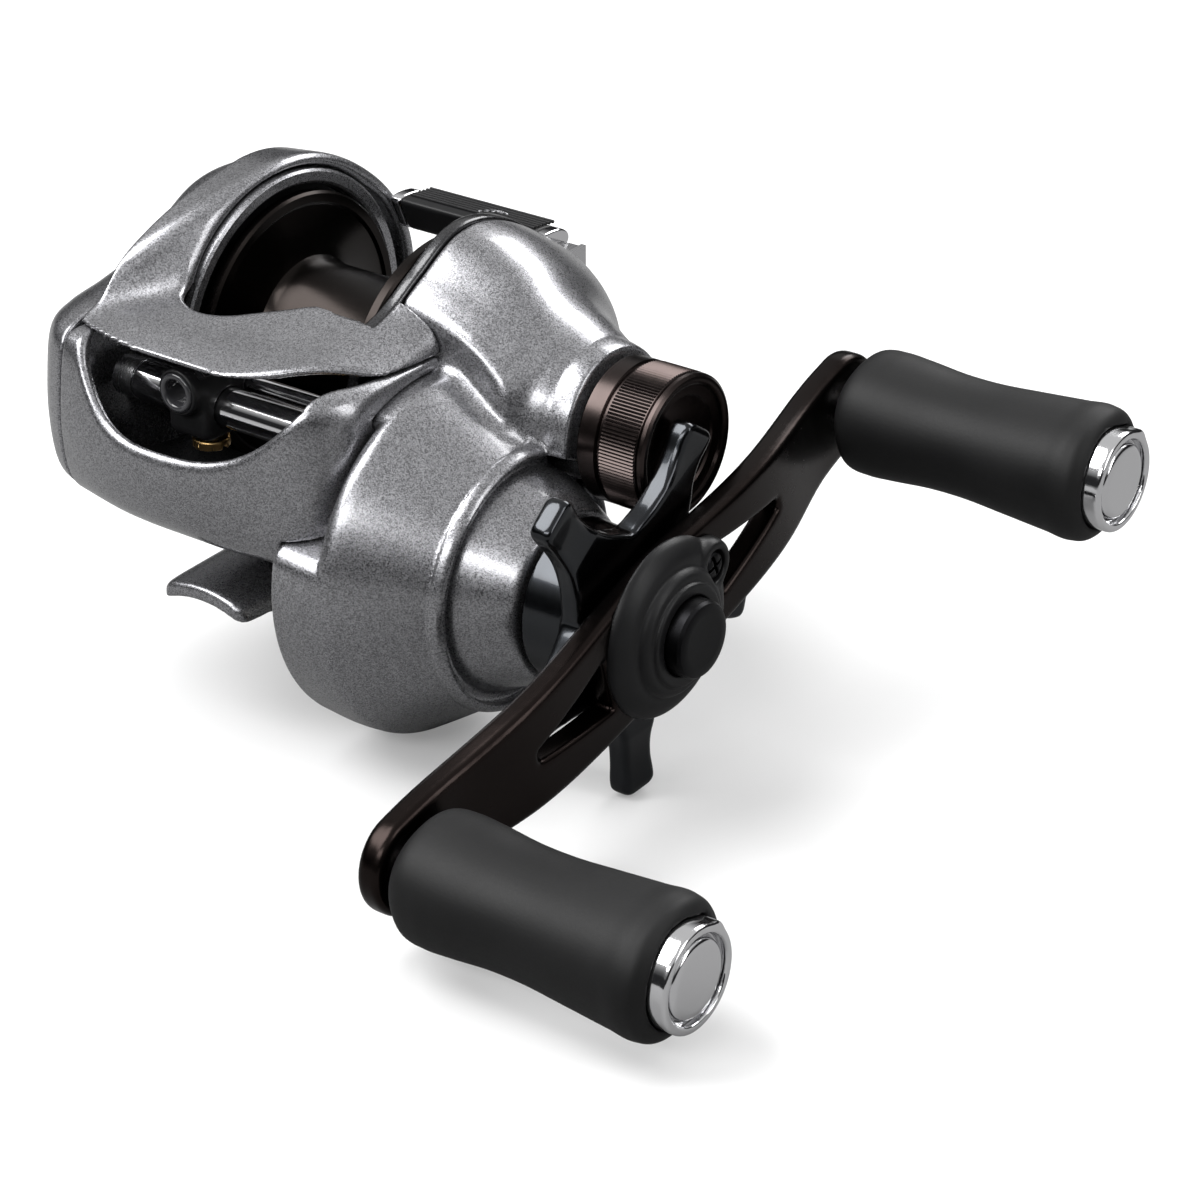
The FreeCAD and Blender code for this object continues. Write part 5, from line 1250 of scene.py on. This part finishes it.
@dataclass(frozen=True)
class Star:
    """The star drag wheel."""

    arms: int = 5
    tip: float = 22.4
    first_arm: float = 57.0
    arm_thickness: float = 3.0

    def build(self) -> None:
        """Makes and dresses the star."""
        y0, z0 = AXES.drive
        low, high = corner("star_drag")
        x0, x1 = low.x, high.x
        arm_x = x1 - self.arm_thickness
        made = turned([(x0, 9.3), (x0 + 0.5, 9.8), (x0 + 3.4, 9.7), (x1 - 3.4, 9.0), (x1 - 0.3, 8.8)], y0,
            z0, 0.25)
        made = made.join(turned([(arm_x - 0.6, 9.8), (arm_x + 0.4, 10.6), (x1 - 0.5, 10.2)], y0, z0, 0.3),
            0.5)
        for i in range(self.arms):
            arm = Solid(self.arm_distance(arm_x, x1))
            made = made.join(turned_copy(arm, y0, z0, self.first_arm + 360 / self.arms * i), 0.5)
        made = made.keep(slab_x(x0, x1), 0.3).cut(round_x(y0, z0, 3.05), 0.2)
        made = made.cut(turned([(x0 - 1, 6.4), (x0 + 1.6, 6.4)], y0, z0, 0.2), 0.3)
        dress(SMALL.mesh("star_wheel", made, (x0, y0 - 22.6, z0 - 22.6), (x1, y0 + 22.6, z0 + 22.6)),
            Finish.STAR, "star", "star_drag")

    def arm_distance(self, low: float, face: float) -> Distance:
        """The distance to one arm lying along +Y, between x = low and its outer face."""
        y0, z0 = AXES.drive

        def distance(x: Array, y: Array, z: Array) -> Array:
            """Distance to the arm: a broad root, a neck, and a paddle with a hollowed flank."""
            along = y - y0
            width = smooth_through([0, 9, 12, 15.5, 18.5, 21.0, 22.4], [6.4, 5.8, 4.0, 2.8, 2.6, 2.7, 2.4],
                along)
            side = (np.abs(z - z0) - width) * 0.85
            scoop = 0.35 * np.clip(1 - ((along - 18.0) / 3.4) ** 2, 0, 1)
            body = soft_max(x - face + scoop, low - x, 0.9)
            return soft_max(soft_max(body, side, 0.9), soft_max(along - self.tip, -along, 0.9), 1.0)

        return distance


@dataclass(frozen=True)
class Handle:
    """The handle arm, its nut and cover, and the two knobs."""

    length: float = 84.0
    angle: float = 17.0
    thickness: float = 3.2
    end_radius: float = 5.8

    def arm(self) -> Solid:
        """The swept arm, lying along its own angle."""
        y0, z0 = AXES.drive
        reach = self.length / 2
        low, high = corner("handle_arm")
        root = high.x - self.thickness
        c, s = math.cos(math.radians(self.angle)), math.sin(math.radians(self.angle))

        def distance(x: Array, y: Array, z: Array) -> Array:
            """Distance to the arm's outline and faces."""
            along = np.abs((y - y0) * c + (z - z0) * s)
            side = np.abs(-(y - y0) * s + (z - z0) * c)
            width = smooth_through([0, 7, 15, 25, 33, 40], [7.9, 7.7, 7.2, 6.6, 5.9, 5.8], along)
            edge = np.where(along < reach, side - width, np.hypot(along - reach, side) - self.end_radius)
            floor = smooth_through([0, 23.4, 35, 60], [root, root, low.x, low.x], along)
            return soft_max(edge, soft_max(x - floor - self.thickness, floor - x, 0.5), 1.1)

        made = Solid(distance)
        for turn in (0, 180):
            window = prism([(y0 + 10.5, z0 - 3.4), (y0 + 23.0, z0 - 0.7), (y0 + 23.0, z0 + 0.7),
                (y0 + 10.5, z0 + 3.4)], "x", 0.7)
            made = made.cut(turned_copy(window, y0, z0, self.angle + turn), 0.8)
        return made.cut(round_x(y0, z0, 3.02), 0.2)

    def build(self) -> None:
        """Makes and dresses the handle."""
        low, high = corner("handle_arm")
        arm = self.arm()
        for y, z in (AXES.front_knob, AXES.rear_knob):
            arm = arm.cut(round_x(y, z, 2.02), 0.1)
        dress(FINE.mesh("handle_arm_blade", arm, tuple(low), tuple(high)), Finish.ARM, "handle", "handle_arm")
        self.nut()
        for side, axis in (("front", AXES.front_knob), ("rear", AXES.rear_knob)):
            self.knob(side, axis)

    def nut(self) -> None:
        """The handle nut, its stepped cover and the cover's screw."""
        y0, z0 = AXES.drive
        x0, x1 = span("handle_nut")
        nut = lathe("nut_button", [(x0, 3.05), (x0, 4.5), (x1 - 0.5, 4.5), (x1 - 0.15, 4.25), (x1, 3.8),
            (x1, 3.0), (x1 - 0.15, 0), (x1 - 0.75, 0), (x1 - 0.75, 3.05)], y0, z0, 96)
        dress(nut, Finish.NUT, "handle", "handle_nut")
        screw = centre("nut_cover_screw")
        plate = turned([(x0, 10.6), (x0 + 0.7, 10.4), (x0 + 1.7, 9.2), (x0 + 2.1, 8.2)], y0, z0, 0.3)
        step = turned([(x0, 7.7), (x0 + 2.4, 7.5), (x0 + 3.1, 6.8)], y0, z0, 0.3)
        collar = turned([(x0, 6.2), (x0 + 3.6, 6.0)], y0, z0, 0.3)
        lobe = turned([(x0, 3.2), (x0 + 1.6, 3.0), (x0 + 2.0, 2.7)], screw.y, screw.z, 0.3)
        made = plate.join(step, 0.3).join(collar, 0.3).join(lobe, 0.7).cut(round_x(y0, z0, 4.62), 0.2)
        made = made.cut(round_x(screw.y, screw.z, 1.9).keep(plane((x0 + 0.6, 0, 0), (-1, 0, 0)), 0.1), 0.25)
        dress(SMALL.mesh("nut_cover_cap", made, (x0, y0 - 10.2, z0 - 10.2), (x0 + 3.7, y0 + 11, z0 + 11)),
            Finish.BLACK, "handle", "nut_cover")
        head = turned([(x0 + 0.62, 1.75), (x0 + 1.6, 1.7), (x0 + 2.0, 1.2)], screw.y, screw.z, 0.3)
        for turn in (20, 110):
            slot = brick((x0 + 1.2, screw.y - 1.3, screw.z - 0.22), (x0 + 5, screw.y + 1.3, screw.z + 0.22),
                0.05)
            head = head.cut(turned_copy(slot, screw.y, screw.z, turn), 0.1)
        dress(Mesher(0.12).mesh("nut_cover_cross_screw", head, (x0 + 0.6, screw.y - 2, screw.z - 2),
            (x0 + 2.1, screw.y + 2, screw.z + 2)), Finish.NUT, "handle", "nut_cover_screw")

    def knob(self, side: str, axis: tuple[float, float]) -> None:
        """One knob with its bright end cap."""
        y0, z0 = axis
        x0, x1 = span("knob_" + side)
        end = corner("knob_cap_" + side)[1].x
        c, s = math.cos(math.radians(self.angle)), math.sin(math.radians(self.angle))

        def distance(x: Array, y: Array, z: Array) -> Array:
            """Distance to the knob: a flattened bar, swollen at both ends."""
            share = (x - x0) / (x1 - x0)
            swell = smooth_through([0, 0.05, 0.13, 0.21, 0.38, 0.50, 0.66, 0.84, 0.93, 0.98, 1.0],
                                   [5.9, 7.0, 7.4, 7.3, 6.9, 6.9, 7.25, 7.65, 7.8, 7.25, 6.6], share)
            wide, deep = swell, swell * (0.95 - 0.05 * np.sin(np.clip(share, 0, 1) * math.pi))
            u, v = (y - y0) * c + (z - z0) * s, -(y - y0) * s + (z - z0) * c
            ring = (np.abs(u / wide) ** 2.3 + np.abs(v / deep) ** 2.3) ** (1 / 2.3)
            return (ring - 1) * np.minimum(wide, deep)

        grip = Solid(distance).keep(slab_x(x0, x1 + 0.3), 2.0).keep(plane((x0, 0, 0), (-1, 0, 0)), 0.8)
        seat = self.bezel(axis, 0.12).keep(plane((x1 - 1.0, 0, 0), (-1, 0, 0)), 0.1)
        grip = grip.cut(seat, 0.3).cut(round_x(y0, z0, 2.15).keep(slab_x(x0 - 1, x1 - 3), 0.1), 0.2)
        body = side + "_knob"
        dress(FINE.mesh("knob_grip_" + side, grip, (x0, y0 - 8.2, z0 - 8.2),
            (x1 + 0.4, y0 + 8.2, z0 + 8.2)), Finish.KNOB, body, "knob_" + side)
        ring = self.bezel(axis, 0.0).keep(slab_x(x1 - 0.9, end), 0.5)
        recess = round_x(y0, z0, 4.9).keep(plane((end - 1.2, 0, 0), (-1, 0, 0)), 0.1)
        button = turned([(x1 - 0.5, 4.4), (end - 0.35, 4.4), (end - 0.02, 3.9)], y0, z0, 0.3)
        made = ring.cut(recess, 0.3).join(button, 0.1)
        dress(SMALL.mesh("knob_bezel_" + side, made, (x1 - 1, y0 - 7.2, z0 - 7.2),
            (end, y0 + 7.2, z0 + 7.2)), Finish.CHROME, body, "knob_cap_" + side)

    def bezel(self, axis: tuple[float, float], grow: float) -> Solid:
        """The outline of a knob's end cap: round, with one corner drawn out."""
        y0, z0 = axis
        point = prism([(y0 + 6.6, z0), (y0, z0 + 5.4), (y0 - 3, z0), (y0, z0 - 5.4)], "x", 1.6)
        return round_x(y0, z0, 5.9).join(turned_copy(point, y0, z0, self.angle + 35), 1.0).grown(grow)


@dataclass(frozen=True)
class CastControl:
    """The cast control cap over the end of the spool shaft."""

    knurls: int = 128

    def build(self) -> None:
        """Makes and dresses the cap."""
        y0, z0 = AXES.spool
        x0, x1 = span("cast_control_cap")
        cap = lathe("cast_cap_barrel", [(x0, 7.1), (x0, 8.2), (x0 + 0.3, 8.5), (x0 + 2.5, 8.5),
            (x0 + 2.7, 8.1), (x0 + 3.0, 8.1), (x0 + 3.2, 8.38), (x1 - 1.1, 8.38), (x1 - 0.95, 8.15),
            (x1 - 0.8, 8.15), (x1 - 0.65, 8.5), (x1 - 0.25, 8.45), (x1, 8.1), (x1, 7.5), (x1 - 0.2, 7.2),
            (x1 - 0.6, 7.1), (x1 - 0.7, 5.9), (x1 - 0.95, 5.7), (x1 - 1.0, 0), (x1 - 1.6, 0),
            (x1 - 1.6, 7.1)], y0, z0, 144)
        ribs = ring_of_ribs("cast_cap_knurl", Finish.CAP, self.knurls, 8.38, x1 - x0 - 4.5, 0.30,
                            ((x0 + 3.2 + x1 - 1.2) / 2, y0, z0), 4)
        dress(weld("cast_cap_knurled", cap, ribs), Finish.CAP, "cast_cap", "cast_control_cap")


# ---------------------------------------------------------------- inner pieces, floor, light and camera
def dress_inner_nodes() -> None:
    """Gives every CAD node that still shows its finish."""
    slots = {entry["node"]: entry["material_slot"] for entry in frame["record"]["subparts"]}
    by_slot: dict[str, Finish] = {}
    for finish in Finish:
        by_slot.setdefault(finish.slot, finish)
    for name, node in frame["nodes"].items():
        if node.hide_render:
            continue
        node.data.materials.clear()
        node.data.materials.append(by_slot[slots[name]].material())


@dataclass(frozen=True)
class Lamp:
    """A rectangular lamp that points at the reel. Its place and size are in metres."""

    name: str
    place: Point
    size: tuple[float, float]
    watts: float
    aim: Point = (0.02, -0.01, 0.01)

    def build(self) -> None:
        """Adds the lamp."""
        light = bpy.data.lights.new(self.name, "AREA")
        light.shape = "RECTANGLE"
        light.size, light.size_y = self.size
        light.energy = self.watts
        holder = bpy.data.objects.new(self.name, light)
        holder.location = self.place
        holder.rotation_euler = (Vector(self.aim) - Vector(self.place)).to_track_quat("-Z", "Y").to_euler()
        bpy.context.scene.collection.objects.link(holder)


@dataclass(frozen=True)
class Studio:
    """The pale floor, the room round it, the soft lamps and the camera."""

    floor_half_width: float = 6.0
    floor_gap: float = 0.5
    floor_seen: float = 0.58
    floor_glow: float = 0.22
    floor_lit: float = 0.20
    matt: float = 0.85
    room_light: float = 0.62
    dark_below: float = 0.28
    bright_above: float = 0.62
    focal_length: float = 108.0
    sensor: float = 36.0
    eye: Point = (260.95, -298.45, 185.31)
    eye_right: Point = (0.79630, 0.60493, 0.0)
    eye_up: Point = (-0.27017, 0.35564, 0.89472)
    eye_back: Point = (0.54124, -0.71247, 0.44662)
    lamps: tuple[Lamp, ...] = (Lamp("key", (-0.30, -0.30, 0.62), (0.50, 0.50), 7.5),
        Lamp("strip", (0.10, -0.62, 0.42), (0.55, 0.14), 2.2),
        Lamp("fill", (0.66, 0.05, 0.34), (0.20, 0.55), 1.6),
        Lamp("back", (0.05, 0.60, 0.50), (0.60, 0.30), 4.0))

    def floor(self) -> None:
        """The floor, just under the lowest point. It looks pale, and throws back less light than it shows."""
        half, drop = self.floor_half_width / MM, CAD_BOUNDS[0][2] / MM - self.floor_gap
        square = np.array([(-half, -half, drop), (half, -half, drop), (half, half, drop),
            (-half, half, drop)])
        floor = mesh_object("studio_floor", square, [(0, 1, 2, 3)])
        shader = Shader("studio_floor")
        shader.set(Base_Color=(self.floor_lit,) * 3, Roughness=self.matt)
        nodes, links = shader.tree.nodes, shader.tree.links
        pale = nodes.new("ShaderNodeBsdfPrincipled")
        pale.inputs["Base Color"].default_value = (self.floor_seen, self.floor_seen, self.floor_seen, 1)
        pale.inputs["Emission Color"].default_value = (1, 1, 1, 1)
        pale.inputs["Emission Strength"].default_value = self.floor_glow
        pale.inputs["Roughness"].default_value = self.matt
        rays, choice = nodes.new("ShaderNodeLightPath"), nodes.new("ShaderNodeMixShader")
        links.new(rays.outputs["Is Camera Ray"], choice.inputs[0])
        links.new(shader.surface.outputs[0], choice.inputs[1])
        links.new(pale.outputs[0], choice.inputs[2])
        output = next(node for node in nodes if node.type == "OUTPUT_MATERIAL")
        links.new(choice.outputs[0], output.inputs["Surface"])
        floor.data.materials.append(shader.material)
        floor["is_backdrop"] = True

    def room(self) -> None:
        """The room: dark low down and bright above for light and reflections, white to look at."""
        world = bpy.data.worlds.new("studio")
        bpy.context.scene.world = world
        world.use_nodes = True
        tree = world.node_tree
        tree.nodes.clear()
        seen = tree.nodes.new("ShaderNodeBackground")
        seen.inputs[0].default_value = (1, 1, 1, 1)
        seen.inputs[1].default_value = 1.0
        around = tree.nodes.new("ShaderNodeBackground")
        around.inputs[1].default_value = self.room_light
        direction = tree.nodes.new("ShaderNodeTexCoord")
        split = tree.nodes.new("ShaderNodeSeparateXYZ")
        ramp = tree.nodes.new("ShaderNodeValToRGB")
        dark, bright = ramp.color_ramp.elements
        dark.position, dark.color = self.dark_below, (0.03, 0.03, 0.032, 1)
        bright.position, bright.color = self.bright_above, (1.0, 1.0, 1.0, 1)
        rays, blend = tree.nodes.new("ShaderNodeLightPath"), tree.nodes.new("ShaderNodeMixShader")
        tree.links.new(direction.outputs["Generated"], split.inputs[0])
        tree.links.new(split.outputs[2], ramp.inputs[0])
        tree.links.new(ramp.outputs[0], around.inputs[0])
        tree.links.new(rays.outputs["Is Camera Ray"], blend.inputs[0])
        tree.links.new(around.outputs[0], blend.inputs[1])
        tree.links.new(seen.outputs[0], blend.inputs[2])
        tree.links.new(blend.outputs[0], tree.nodes.new("ShaderNodeOutputWorld").inputs[0])

    def camera(self) -> None:
        """The camera, looking down at the handle side from in front."""
        lens = bpy.data.cameras.new("view")
        lens.lens = self.focal_length
        lens.sensor_width = self.sensor
        lens.clip_start = 0.01
        camera = bpy.data.objects.new("view", lens)
        turn = Matrix((self.eye_right, self.eye_up, self.eye_back)).transposed().to_4x4()
        camera.matrix_world = Matrix.Translation(Vector(self.eye) * MM) @ turn
        bpy.context.scene.collection.objects.link(camera)
        bpy.context.scene.camera = camera

    def build(self) -> None:
        """Sets the studio up."""
        self.floor()
        self.room()
        for lamp in self.lamps:
            lamp.build()
        self.camera()
        bpy.context.scene.view_settings.view_transform = "Standard"


def write_sizes() -> None:
    """Gathers the CAD box and the visual model's box as plain lists; nothing is written."""
    plain = [[[float(v) for v in point] for point in box] for box in (CAD_BOUNDS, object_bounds())]


def main() -> None:
    """Builds the reel piece by piece."""
    logging.basicConfig(level=logging.INFO, format="%(name)s %(message)s")
    for assembly in (Housing(), PalmSide(), LevelWind(), Spool(), ThumbBar(), Star(), Handle(),
            CastControl()):
        assembly.build()
    dress_inner_nodes()
    Studio().build()
    write_sizes()


if __name__ == "__main__":
    main()
